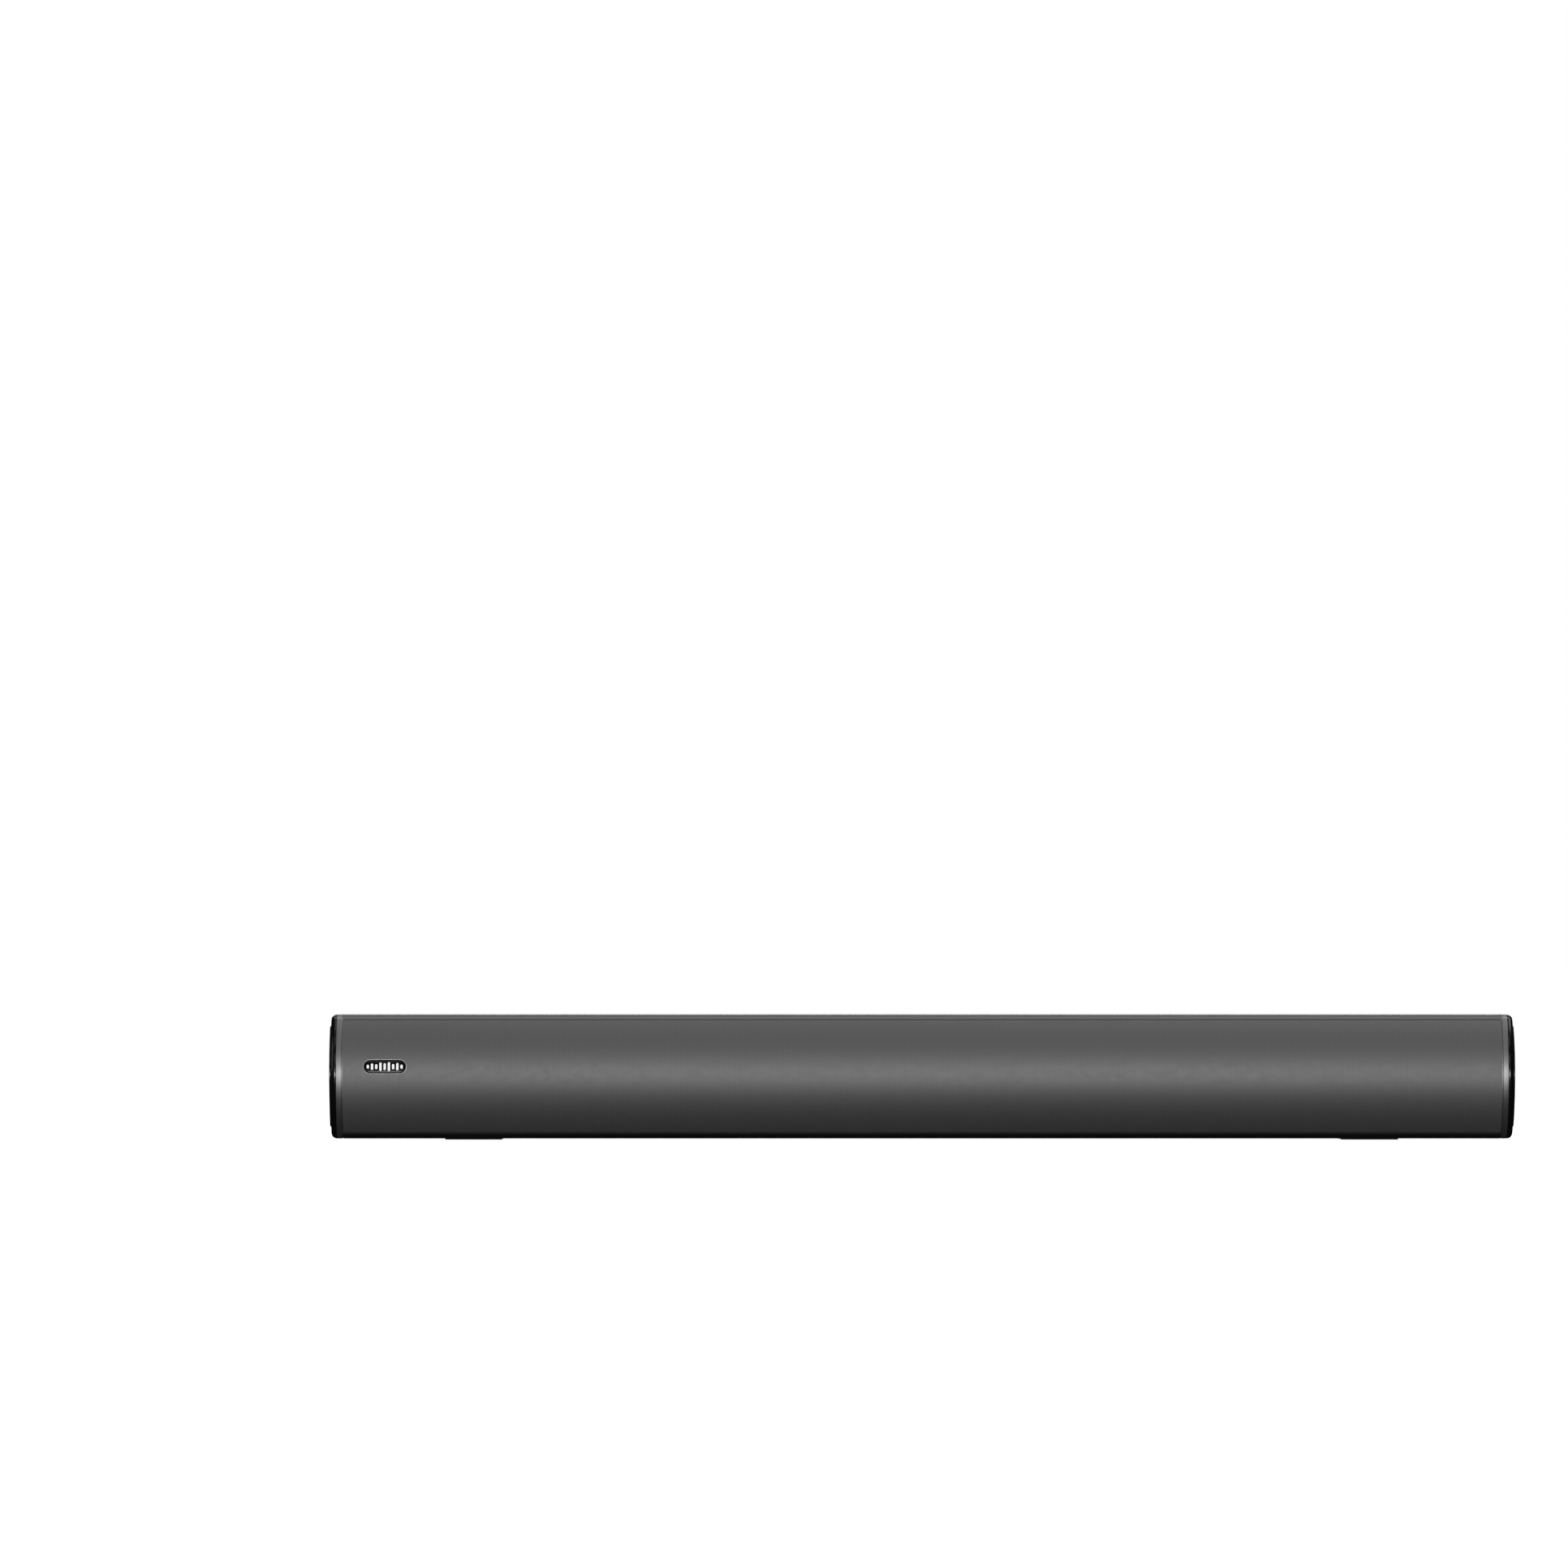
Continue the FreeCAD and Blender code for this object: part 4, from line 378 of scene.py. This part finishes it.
def casing_loop():
    """The casing's outline once round, as (y, z) points, with the outward direction at each.

    It is one arc of the front radius, two corner arcs, the top, two rear corner arcs, the back and
    the bottom. All joints are tangent, so a section further in is each point less its inset
    times its outward direction.
    """
    def arc(centre, radius, start, end, count):
        angle = np.linspace(start, end, count, endpoint=False)
        out = np.stack([-np.cos(angle), np.sin(angle)], -1)
        return np.array(centre) + radius * out, out

    def line(start, end, out, count):
        step = np.linspace(0, 1, count, endpoint=False)[:, None]
        points = np.array(start) * (1 - step) + np.array(end) * step
        return points, np.tile(out, (count, 1)).astype(float)

    rear_y = BACK_Y - CORNER_RADIUS
    high = TOP_Z - CORNER_RADIUS
    low = BASE_Z + CORNER_RADIUS
    parts = [
        arc((FRONT_CENTRE_Y, MIDDLE_Z), FRONT_RADIUS, -LIP_ANGLE, LIP_ANGLE, 96),
        arc((FRONT_CORNER_Y, high), CORNER_RADIUS, LIP_ANGLE, pi / 2, 16),
        line((FRONT_CORNER_Y, TOP_Z), (rear_y, TOP_Z), (0, 1), 12),
        arc((rear_y, high), CORNER_RADIUS, pi / 2, pi, 24),
        line((BACK_Y, high), (BACK_Y, low), (1, 0), 12),
        arc((rear_y, low), CORNER_RADIUS, pi, 3 * pi / 2, 24),
        line((rear_y, BASE_Z), (FRONT_CORNER_Y, BASE_Z), (0, -1), 12),
        arc((FRONT_CORNER_Y, low), CORNER_RADIUS, -pi / 2, -LIP_ANGLE, 16),
    ]
    points, outward = zip(*parts)
    return np.vstack(points), np.vstack(outward)


LOOP, OUTWARD = casing_loop()


def ring(name, side, profile):
    """Solid ring: a closed profile of (distance from the bar's middle, inset) round the casing."""
    section = LOOP[None] - profile[:, 1, None, None] * OUTWARD[None]
    run = np.broadcast_to(side * profile[:, 0, None], section.shape[:2])
    return surface(name, np.concatenate([run[..., None], section], -1), True, True)


SIDES = {"left": -1, "right": 1}
HOOK_START = 299.8 * mm
NECK_START = 302.8 * mm
BAND_START = 303.3 * mm
BAND_END = 306.2 * mm
NECK_INSET = 0.8 * mm
HOOK_INSET = 2.7 * mm
BAND_THICK = 4.2 * mm
collar_profile = rounded_corners(
    [
        (NECK_START, NECK_INSET), (BAND_START, NECK_INSET), (BAND_START, 0), (BAND_END, 0),
        (BAND_END, BAND_THICK), (HOOK_START, BAND_THICK), (HOOK_START, HOOK_INSET),
        (NECK_START, HOOK_INSET),
    ],
    np.array([0, 0, 0.25, 0.2, 0.1, 0.1, 0.1, 0]) * mm,
)
silver = (0.27, 0.27, 0.273)
collar_finish = moulded_finish("collar_lacquer", silver, 0.4, 0.15 * mm, 0.001 * mm, Metallic=0.9)
for name, side in SIDES.items():
    collar_mesh = ring(f"{name}_collar", side, collar_profile)
    close_mesh(collar_mesh)
    piece(collar_mesh, collar_finish, "casing", "collar_finish", f"{name}_end_collar")

# ---- the end caps -------------------------------------------------------------------------------
# Black mouldings with a low gloss that close both ends with a full round edge. Four screws hold each one,
# and a trim plate with a small soft edge is pressed into its shallow recess and hides them.

CAP_FACE = 309.2 * mm
RECESS_FLOOR = 308.2 * mm
RECESS_INSET = 6.15 * mm
PLATE_FACE = 310 * mm
PLATE_INSET = 6.2 * mm
PLATE_FLAT_INSET = 7.4 * mm

cap_profile = rounded_corners(
    [(BAND_END, 0), (CAP_FACE, 0), (CAP_FACE, RECESS_INSET), (RECESS_FLOOR, RECESS_INSET)],
    np.array([0.15, 2.7, 0.12, 0]) * mm,
    12,
)


def lid(name, side, profile):
    """Solid lid: the profile's rings, closed by flat discs that shrink to the section's middle.

    Each disc point is its rim point moved a share of the way to the middle of the section.
    """
    section = LOOP[None] - profile[:, 1, None, None] * OUTWARD[None]
    middle = np.array([(BACK_Y - FRONT_RADIUS + FRONT_CENTRE_Y) / 2, (TOP_Z + BASE_Z) / 2])
    share = np.linspace(0, 1, 9)[1:, None, None]
    first = middle + (section[:1] - middle) * share
    last = middle + (section[-1:] - middle) * share[::-1]
    pole = np.broadcast_to(middle, (1, *section.shape[1:]))
    first = np.concatenate([pole, first[:-1]])
    last = np.concatenate([last[1:], pole])
    rows = np.concatenate([first, section, last])
    heights = np.concatenate([
        np.full(len(first), profile[0, 0]), profile[:, 0], np.full(len(last), profile[-1, 0]),
    ])
    run = np.broadcast_to(side * heights[:, None], rows.shape[:2])
    mesh = surface(name, np.concatenate([run[..., None], rows], -1), False, True)
    close_mesh(mesh)
    return mesh


jet = (0.006, 0.006, 0.006)
cap_gloss = moulded_finish("cap_gloss", jet, 0.18, 4 * mm, 0.004 * mm, Coat_Weight=0.15)
plate_profile = rounded_corners(
    [(RECESS_FLOOR, PLATE_INSET), (PLATE_FACE, PLATE_INSET), (PLATE_FACE, PLATE_FLAT_INSET)],
    np.array([0, 0.4, 0]) * mm,
    8,
)
for name, side in SIDES.items():
    cap_mesh = lid(f"{name}_cap", side, cap_profile)
    piece(cap_mesh, cap_gloss, "casing", "cap_gloss", f"{name}_end_cap")
    plate_mesh = lid(f"{name}_plate", side, plate_profile)
    piece(plate_mesh, cap_gloss, "casing", "cap_gloss", f"{name}_end_plate")

# ---- the badge ----------------------------------------------------------------------------------
# A gloss black pill moulded with a thin raised rim, its back shaped to the grille and glued on
# near the left end. Its rim is hot-foiled pale silver, and it carries a row of printed sound bars
# whose white print is made to glow a little, which is painted light.

BADGE_X = -280.6 * mm
BADGE_Z = 38.4 * mm


def pill(name, centre, radius, reach, profile, upright=False):
    """Solid stadium wrapped on the front.

    Rows follow the profile of (distance in from the edge, height above the front's radius). A row
    is the stadium's edge, two half circles and two straights, moved in by that distance, and
    each point's depth is the front's arc at its height above the bar's middle.
    """
    turn = np.linspace(-pi / 2, pi / 2, 17)
    run = np.linspace(1, -1, 17)[1:-1]
    edge = np.concatenate([
        np.stack([reach + 0 * turn, 0 * turn, np.cos(turn), np.sin(turn)], -1),
        np.stack([reach * run, 0 * run, 0 * run, 1 + 0 * run], -1),
        np.stack([-reach + 0 * turn, 0 * turn, -np.cos(turn), -np.sin(turn)], -1),
        np.stack([-reach * run, 0 * run, 0 * run, -1 + 0 * run], -1),
    ])
    profile = np.asarray(profile)
    flat = edge[None, :, :2] + (radius - profile[:, 0, None, None]) * edge[None, :, 2:]
    if upright:
        flat = flat[..., ::-1]
    x = centre[0] + flat[..., 0]
    z = centre[1] + flat[..., 1]
    depth = np.sqrt((FRONT_RADIUS + profile[:, 1, None]) ** 2 - (z - MIDDLE_Z) ** 2)
    return surface(name, np.stack([x, FRONT_CENTRE_Y - depth, z], -1), False, True)


inward = np.linspace(3.9, 0.1, 8)
badge_profile = np.concatenate([
    np.stack([inward, 0.05 + 0 * inward], -1),
    [(0, 0.08), (0, 0.3), (0.04, 0.36), (0.12, 0.39), (0.24, 0.39), (0.32, 0.36), (0.38, 0.28)],
    np.stack([inward[::-1][1:], 0.26 + 0 * inward[1:]], -1),
]) * mm
badge_mesh = pill("badge_plate", (BADGE_X, BADGE_Z), 3.9 * mm, 7.55 * mm, badge_profile)
around = len(badge_mesh.vertices) // len(badge_profile)
ring_of_face = np.arange(len(badge_mesh.polygons)) // around
badge_gloss = moulded_finish("badge_gloss", (0.004, 0.004, 0.004), 0.1, 2 * mm, 0.002 * mm)
foil = (0.55, 0.55, 0.55)
badge_rim = moulded_finish("badge_rim_foil", foil, 0.35, 0.2 * mm, 0.001 * mm, Metallic=0.6)
on_rim = (ring_of_face > 8) & (ring_of_face < 14)
badge_mesh.polygons.foreach_set("material_index", on_rim.astype(int))
close_mesh(badge_mesh)
piece(badge_mesh, badge_gloss, "casing", "badge_finish", "badge")
badge_mesh.materials.append(badge_rim)

bar_heights = np.array([2.0, 3.4, 2.6, 4.4, 3.6, 4.7, 2.8, 3.8, 2.2]) * mm
bar_step = 2.2 * mm
bar_radius = 0.62 * mm
bar_foot = 0.2 * mm
bar_top = 0.32 * mm
bar_profile = [
    (bar_radius, bar_foot), (0, bar_foot), (0, 0.3 * mm), (0.05 * mm, bar_top), (bar_radius, bar_top),
]
bars = bmesh.new()
for number, height in enumerate(bar_heights):
    x = BADGE_X + (number - (len(bar_heights) - 1) / 2) * bar_step
    reach = max(height / 2 - bar_radius, 0.1 * mm)
    bar = pill("badge_bar", (x, BADGE_Z), bar_radius, reach, bar_profile, True)
    bars.from_mesh(bar)
    bpy.data.meshes.remove(bar)
bars_mesh = bpy.data.meshes.new("badge_bars")
bars.to_mesh(bars_mesh)
bars.free()
close_mesh(bars_mesh)
glowing_print_white = moulded_finish("badge_print_painted_glow", (0.85, 0.85, 0.85), 0.45, 0.1 * mm, 0.001 * mm)
print_glow_shader = glowing_print_white.node_tree.nodes["Principled BSDF"]
# Painted light: the printed bars glow with emission strength 0.45, though they are no lamp.
print_glow_shader.inputs["Emission Color"].default_value = (1, 1, 1, 1)
print_glow_shader.inputs["Emission Strength"].default_value = 0.45
piece(bars_mesh, glowing_print_white, "casing", "badge_finish")

# ---- the baffle and the drivers -----------------------------------------------------------------
# A black moulded baffle stands behind the grille and carries two 52 mm full-range drivers: pressed
# steel baskets, coated paper cones in rubber rolls, woven spiders, copper coils and ferrite magnets.

dress(moulded_finish("baffle_plastic", (0.022, 0.022, 0.022), 0.55), "front_baffle", "partitions")
dress(moulded_finish("gasket_foam", (0.03, 0.03, 0.032), 0.95, 0.6 * mm, 0.2 * mm), "driver_gaskets")
paint_black = (0.03, 0.03, 0.03)
basket_paint = moulded_finish("basket_paint", paint_black, 0.35, 0.4 * mm, 0.006 * mm, Metallic=0.5)
cone_paper = moulded_finish("cone_paper", (0.03, 0.03, 0.03), 0.8, 0.5 * mm, 0.06 * mm)
dust_cap_paper = moulded_finish("dust_cap_paper", (0.02, 0.02, 0.02), 0.5, 0.3 * mm, 0.01 * mm)
roll_rubber = moulded_finish("roll_rubber", (0.018, 0.018, 0.018), 0.6, 0.3 * mm, 0.01 * mm)
spider_weave = woven_cloth_painted_shade("spider_weave", (0.42, 0.29, 0.1), 0.5 * mm)
zinc_steel = moulded_finish("zinc_steel", (0.62, 0.61, 0.57), 0.32, 0.5 * mm, 0.004 * mm, Metallic=1)
ferrite = (0.06, 0.06, 0.063)
ground_ferrite = moulded_finish("ground_ferrite", ferrite, 0.6, 0.25 * mm, 0.02 * mm, Metallic=0.2)


def wound_copper():
    """Enamelled copper wire: fine bands across the coil's axis, one wire apart."""
    wire = 0.16 * mm
    material = moulded_finish("wound_copper", (0.66, 0.27, 0.11), 0.3, wire, 0.03 * mm, Metallic=0.9)
    tree = material.node_tree
    turns = tree.nodes.new("ShaderNodeTexWave")
    turns.bands_direction = "Y"
    turns.inputs["Scale"].default_value = pi / 10 / wire
    tree.links.new(tree.nodes["Texture Coordinate"].outputs["Object"], turns.inputs["Vector"])
    tree.links.new(turns.outputs["Fac"], tree.nodes["Bump"].inputs["Height"])
    return material


coil_copper = wound_copper()
for side in SIDES:
    dress(basket_paint, f"{side}_basket")
    dress(cone_paper, f"{side}_cone")
    dress(dust_cap_paper, f"{side}_dust_cap")
    dress(roll_rubber, f"{side}_surround")
    dress(spider_weave, f"{side}_spider")
    dress(zinc_steel, f"{side}_top_plate", f"{side}_yoke")
    dress(ground_ferrite, f"{side}_magnet")
    dress(coil_copper, f"{side}_voice_coil")

# ---- the boards and their wiring ----------------------------------------------------------------
# A main board under the top, a key board and a status board: green glass-fibre laminate with black
# components, a tinned shield can, a black anodised heat sink, sleeved wires and a flat ribbon.


def laminate_finish():
    """Green solder mask over straight copper runs.

    The runs are the narrow gaps of a brick pattern, paler than the mask.
    """
    mask = (0.01, 0.09, 0.04)
    material = moulded_finish("laminate_green", mask, 0.35, 0.2 * mm, 0.01 * mm)
    tree = material.node_tree
    runs = tree.nodes.new("ShaderNodeTexBrick")
    runs.inputs["Scale"].default_value = 1 / (12 * mm)
    runs.inputs["Mortar Size"].default_value = 0.03
    runs.inputs["Color1"].default_value = (*mask, 1)
    runs.inputs["Color2"].default_value = (0.012, 0.1, 0.045, 1)
    runs.inputs["Mortar"].default_value = (0.05, 0.22, 0.08, 1)
    tree.links.new(tree.nodes["Texture Coordinate"].outputs["Object"], runs.inputs["Vector"])
    tree.links.new(runs.outputs["Color"], tree.nodes["Principled BSDF"].inputs["Base Color"])
    return material


dress(laminate_finish(), "main_board", "key_board", "status_board")
component_black = moulded_finish("component_black", (0.03, 0.03, 0.03), 0.45, 0.15 * mm, 0.008 * mm)
dress(component_black, "board_parts", "key_switches")
tinned = moulded_finish("tinned_shield", (0.7, 0.7, 0.69), 0.3, 0.6 * mm, 0.005 * mm, Metallic=1)
dress(tinned, "wireless_module")
anodised = moulded_finish("anodised_black", (0.02, 0.02, 0.022), 0.4, 0.2 * mm, 0.006 * mm, Metallic=0.6)
dress(anodised, "heat_sink")
dress(moulded_finish("wire_sleeve", (0.02, 0.02, 0.02), 0.4, 0.5 * mm, 0.01 * mm), "speaker_wires")
dress(moulded_finish("ribbon_white", (0.6, 0.6, 0.57), 0.5, 0.3 * mm, 0.005 * mm), "key_ribbon")
dress(moulded_finish("damping_foam", (0.05, 0.05, 0.055), 0.95, 1.2 * mm, 0.4 * mm), "damping_pads")

# ---- the control panel and its keys -------------------------------------------------------------
# A satin black insert glued flush into the top cover, with four round keys that press 0.6 mm. The
# keys are the same plastic in a lighter grey, and their marks are pad-printed in pale grey.

panel_plastic = moulded_finish("panel_plastic", (0.022, 0.022, 0.023), 0.35, 0.2 * mm, 0.006 * mm)
moulded_copy("key_panel", "control_panel", panel_plastic, "casing", "panel_plastic", 0.15 * mm)

KEY_X = {"power": -30 * mm, "source": -10 * mm, "volume_down": 10 * mm, "volume_up": 30 * mm}
KEY_Y = 2 * mm
KEY_TOP = 65.55 * mm
KEY_RADIUS = 5.4 * mm
STEM_RADIUS = 1.6 * mm
BOSS_RADIUS = 2.2 * mm
BOSS_LOW = 60.2 * mm
FLANGE_RADIUS = 6.6 * mm
FLANGE_LOW = 61.15 * mm
FLANGE_HIGH = 62.15 * mm
DISH_RADIUS = 4.6 * mm
DISH_DEPTH = 0.25 * mm
MARK_WIDTH = 0.42 * mm
PRINT_THICK = 0.03 * mm


def lathe(name, centre, profile, count=72):
    """Profile of (radius, height) turned about an upright axis through centre."""
    profile = np.asarray(profile)
    turn = np.linspace(0, 2 * pi, count, endpoint=False)
    x = centre[0] + profile[:, 0, None] * np.cos(turn)
    y = centre[1] + profile[:, 0, None] * np.sin(turn)
    z = np.broadcast_to(profile[:, 1, None], x.shape)
    return surface(name, np.stack([x, y, z], -1), False, True)


def dish(radius):
    """Height of a key's shallow dish: a parabola of the dish's depth over the dish's radius."""
    return KEY_TOP - DISH_DEPTH * np.clip(1 - (radius / DISH_RADIUS) ** 2, 0, 1)


key_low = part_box("power_button")[0][2]
dish_steps = np.linspace(4.6, 0, 12) * mm
key_profile = np.concatenate([
    [(0, key_low), (STEM_RADIUS, key_low), (STEM_RADIUS, BOSS_LOW), (BOSS_RADIUS, BOSS_LOW)],
    [(BOSS_RADIUS, FLANGE_LOW), (FLANGE_RADIUS, FLANGE_LOW), (FLANGE_RADIUS, FLANGE_HIGH)],
    [(KEY_RADIUS, FLANGE_HIGH), (KEY_RADIUS, 65.1 * mm)],
    np.array([(5.36, 65.32), (5.22, 65.48), (5.0, 65.54)]) * mm,
    np.stack([dish_steps, dish(dish_steps)], -1),
])
key_plastic = moulded_finish("key_plastic", (0.05, 0.05, 0.052), 0.4, 0.2 * mm, 0.008 * mm)
mark_grey = moulded_finish("mark_print", (0.6, 0.6, 0.6), 0.6, 0.1 * mm, 0.001 * mm)


def stroke(points, width):
    """The two sides of a printed line of the given width along (x, y) points.

    Each side is the line moved half a width along its local normal.
    """
    points = np.asarray(points, float)
    ahead = np.gradient(points, axis=0)
    ahead /= np.linalg.norm(ahead, axis=1)[:, None]
    normal = np.stack([-ahead[:, 1], ahead[:, 0]], -1) * width / 2
    return np.stack([points - normal, points + normal])


def straight(start, end):
    """Points on a straight line from start to end."""
    return np.linspace(start, end, 9)


def bend(centre, radius, start, end):
    """Points on an arc, angles in degrees from the right."""
    turn = np.radians(np.linspace(start, end, 41))
    return np.stack([centre[0] + radius * np.cos(turn), centre[1] + radius * np.sin(turn)], -1)


MARKS = {
    "power": [bend((0, 0), 1.7, 125, 415), straight((0, 0.5), (0, 2.3))],
    "source": [
        straight((0.3, 1.6), (1.9, 1.6)),
        straight((1.9, 1.72), (1.9, -1.72)),
        straight((1.9, -1.6), (0.3, -1.6)),
        straight((-2.2, 0), (0.6, 0)),
        straight((-0.35, 0.85), (0.6, 0)),
        straight((-0.35, -0.85), (0.6, 0)),
    ],
    "volume_down": [straight((-1.8, 0), (1.8, 0))],
    "volume_up": [straight((-1.8, 0), (1.8, 0)), straight((0, -1.8), (0, 1.8))],
}
for name, x in KEY_X.items():
    key_mesh = lathe(f"{name}_key_cap", (x, KEY_Y), key_profile)
    close_mesh(key_mesh)
    piece(key_mesh, key_plastic, f"{name}_key", "button_plastic", f"{name}_button")
    mark = bmesh.new()
    for layer, line in enumerate(MARKS[name]):
        flat = stroke(line * mm, MARK_WIDTH)
        over = dish(np.linalg.norm(flat, axis=-1)) + (0.015 + 0.001 * layer) * mm
        faces = np.stack([x + flat[..., 0], KEY_Y + flat[..., 1], over], -1)
        under = faces - [0, 0, PRINT_THICK]
        sheet = surface("mark_line", np.stack([faces[0], faces[1], under[1], under[0]]), True, False)
        mark.from_mesh(sheet)
        bpy.data.meshes.remove(sheet)
    mark_mesh = bpy.data.meshes.new(f"{name}_mark")
    mark.to_mesh(mark_mesh)
    mark.free()
    close_ends(mark_mesh)
    piece(mark_mesh, mark_grey, f"{name}_key", "button_plastic")

# ---- the socket recess --------------------------------------------------------------------------
# A moulded black tray is screwed behind the back's opening, with a window for each of the five
# sockets, which stand on the main board. The metal shells are folded from nickel-plated strip.

tray_plastic = moulded_finish("tray_plastic", (0.02, 0.02, 0.02), 0.45)
moulded_copy("socket_tray", "port_panel", tray_plastic, "casing", "panel_plastic", 0.15 * mm)
socket_plastic = moulded_finish("socket_plastic", (0.012, 0.012, 0.012), 0.35, 0.15 * mm, 0.005 * mm)
plastic_sockets = {
    "dc_socket": "power_socket",
    "aux_socket": "audio_socket",
    "optical_socket": "light_socket",
}
for node, name in plastic_sockets.items():
    moulded_copy(name, node, socket_plastic, "casing", "socket_plastic", 0.15 * mm)
nickel = (0.62, 0.6, 0.57)
socket_nickel = moulded_finish("socket_nickel", nickel, 0.28, 0.4 * mm, 0.002 * mm, Metallic=1)
for node, name in {"hdmi_socket": "video_socket", "usb_socket": "memory_socket"}.items():
    moulded_copy(name, node, socket_nickel, "casing", "socket_metal", 0.12 * mm)
shutter_plastic = moulded_finish("shutter_plastic", (0.05, 0.05, 0.05), 0.3, 0.15 * mm, 0.004 * mm)
moulded_copy("light_shutter", "optical_shutter", shutter_plastic, "shutter", "socket_plastic", 0.08 * mm)

# ---- feet, screws and wall fixings --------------------------------------------------------------
# Four soft rubber feet sit in shallow recesses under the bar. The screws are black zinc-plated
# steel, and two blind keyhole cups behind the back take the heads of wall screws.

foot_rubber = moulded_finish("foot_rubber", (0.025, 0.025, 0.025), 0.75, 0.2 * mm, 0.03 * mm)
moulded_copy("feet", "rubber_feet", foot_rubber, "casing", "foot_rubber", 0.25 * mm)
screw_zinc = moulded_finish("screw_zinc", (0.06, 0.06, 0.062), 0.38, 0.3 * mm, 0.003 * mm, Metallic=0.9)
dress(screw_zinc, "housing_screws", "end_cap_screws", "driver_screws", "board_screws")
dress(base_plastic, "keyhole_cups")

# ---- the studio ---------------------------------------------------------------------------------
# A pale floor under a white surround, a long low softbox in front, soft panels above, and smaller
# ones at the sides and behind. None of this is part of the bar.

world = bpy.data.worlds.new("studio")
bpy.context.scene.world = world
world.use_nodes = True
tree = world.node_tree
background = tree.nodes["Background"]
background.inputs["Color"].default_value = (1, 1, 1, 1)
background.inputs["Strength"].default_value = 1
dim = tree.nodes.new("ShaderNodeBackground")
dim.inputs["Color"].default_value = (1, 1, 1, 1)
dim.inputs["Strength"].default_value = 0.01
seen = tree.nodes.new("ShaderNodeLightPath")
choice = tree.nodes.new("ShaderNodeMixShader")
tree.links.new(seen.outputs["Is Camera Ray"], choice.inputs["Fac"])
tree.links.new(dim.outputs[0], choice.inputs[1])
tree.links.new(background.outputs[0], choice.inputs[2])
tree.links.new(choice.outputs[0], tree.nodes["World Output"].inputs["Surface"])

FLOOR_REACH = 30
corners = [(-1, -1), (1, -1), (1, 1), (-1, 1)]
floor_mesh = bpy.data.meshes.new("floor")
floor_mesh.from_pydata([(x * FLOOR_REACH, y * FLOOR_REACH, 0) for x, y in corners], [], [(0, 1, 2, 3)])
floor = bpy.data.objects.new("floor", floor_mesh)
bpy.context.scene.collection.objects.link(floor)
floor.visible_diffuse = False
floor.visible_glossy = False
pale = bpy.data.materials.new("floor_white")
pale.use_nodes = True
shader = pale.node_tree.nodes["Principled BSDF"]
shader.inputs["Base Color"].default_value = (0.8, 0.8, 0.8, 1)
shader.inputs["Roughness"].default_value = 1
shader.inputs["Emission Color"].default_value = (1, 1, 1, 1)
floor_place = pale.node_tree.nodes.new("ShaderNodeTexCoord")
spread = pale.node_tree.nodes.new("ShaderNodeVectorMath")
spread.operation = "LENGTH"
glow = pale.node_tree.nodes.new("ShaderNodeMapRange")
glow.interpolation_type = "SMOOTHSTEP"
glow.inputs["From Min"].default_value = 0.25
glow.inputs["From Max"].default_value = 1.2
glow.inputs["To Min"].default_value = 0.9
glow.inputs["To Max"].default_value = 1
pale.node_tree.links.new(floor_place.outputs["Object"], spread.inputs[0])
pale.node_tree.links.new(spread.outputs["Value"], glow.inputs["Value"])
pale.node_tree.links.new(glow.outputs["Result"], shader.inputs["Emission Strength"])
floor_mesh.materials.append(pale)


def softbox(name, azimuth, elevation, distance, width, height, strength):
    """Rectangular lamp that faces the middle of the bar.

    azimuth is measured from straight in front towards the bar's right, elevation from level, and
    strength is its radiance, so that its power is pi times its area times that.
    """
    lamp = bpy.data.lights.new(name, "AREA")
    lamp.shape = "RECTANGLE"
    lamp.size = width
    lamp.size_y = height
    lamp.energy = strength * pi * width * height
    made = bpy.data.objects.new(name, lamp)
    turn = radians(azimuth)
    lift = radians(elevation)
    made.location = (
        distance * sin(turn) * cos(lift),
        -distance * cos(turn) * cos(lift),
        MIDDLE_Z + distance * sin(lift),
    )
    made.rotation_euler = (pi / 2 - lift, 0, turn)
    made.visible_camera = False
    bpy.context.scene.collection.objects.link(made)


softbox("front_strip", 0, 3, 3, 3.0, 0.25, 15.4)
softbox("upper_front", 0, 24, 3, 3.0, 0.5, 1.0)
softbox("high_front", 0, 50, 3, 3.0, 0.8, 0.6)
softbox("steep_front", 0, 75, 2.5, 3.0, 0.9, 0.65)
softbox("overhead", 0, 105, 2.5, 3.0, 0.9, 1.8)
softbox("left_side", -80, 16, 2.5, 0.9, 1.1, 0.9)
softbox("right_side", 95, 50, 2.5, 1.4, 0.9, 2.2)
softbox("behind", 180, 25, 3, 3.0, 1.0, 2.0)

camera = bpy.data.cameras.new("camera")
camera.lens = 200
camera.sensor_width = 36
camera.shift_y = 0.1385
camera_object = bpy.data.objects.new("camera", camera)
camera_object.location = (-0.0722, -4.582, 0.0726)
camera_object.rotation_euler = (pi / 2, 0, 0)
bpy.context.scene.collection.objects.link(camera_object)
bpy.context.scene.camera = camera_object
bpy.context.scene.view_settings.view_transform = "Standard"
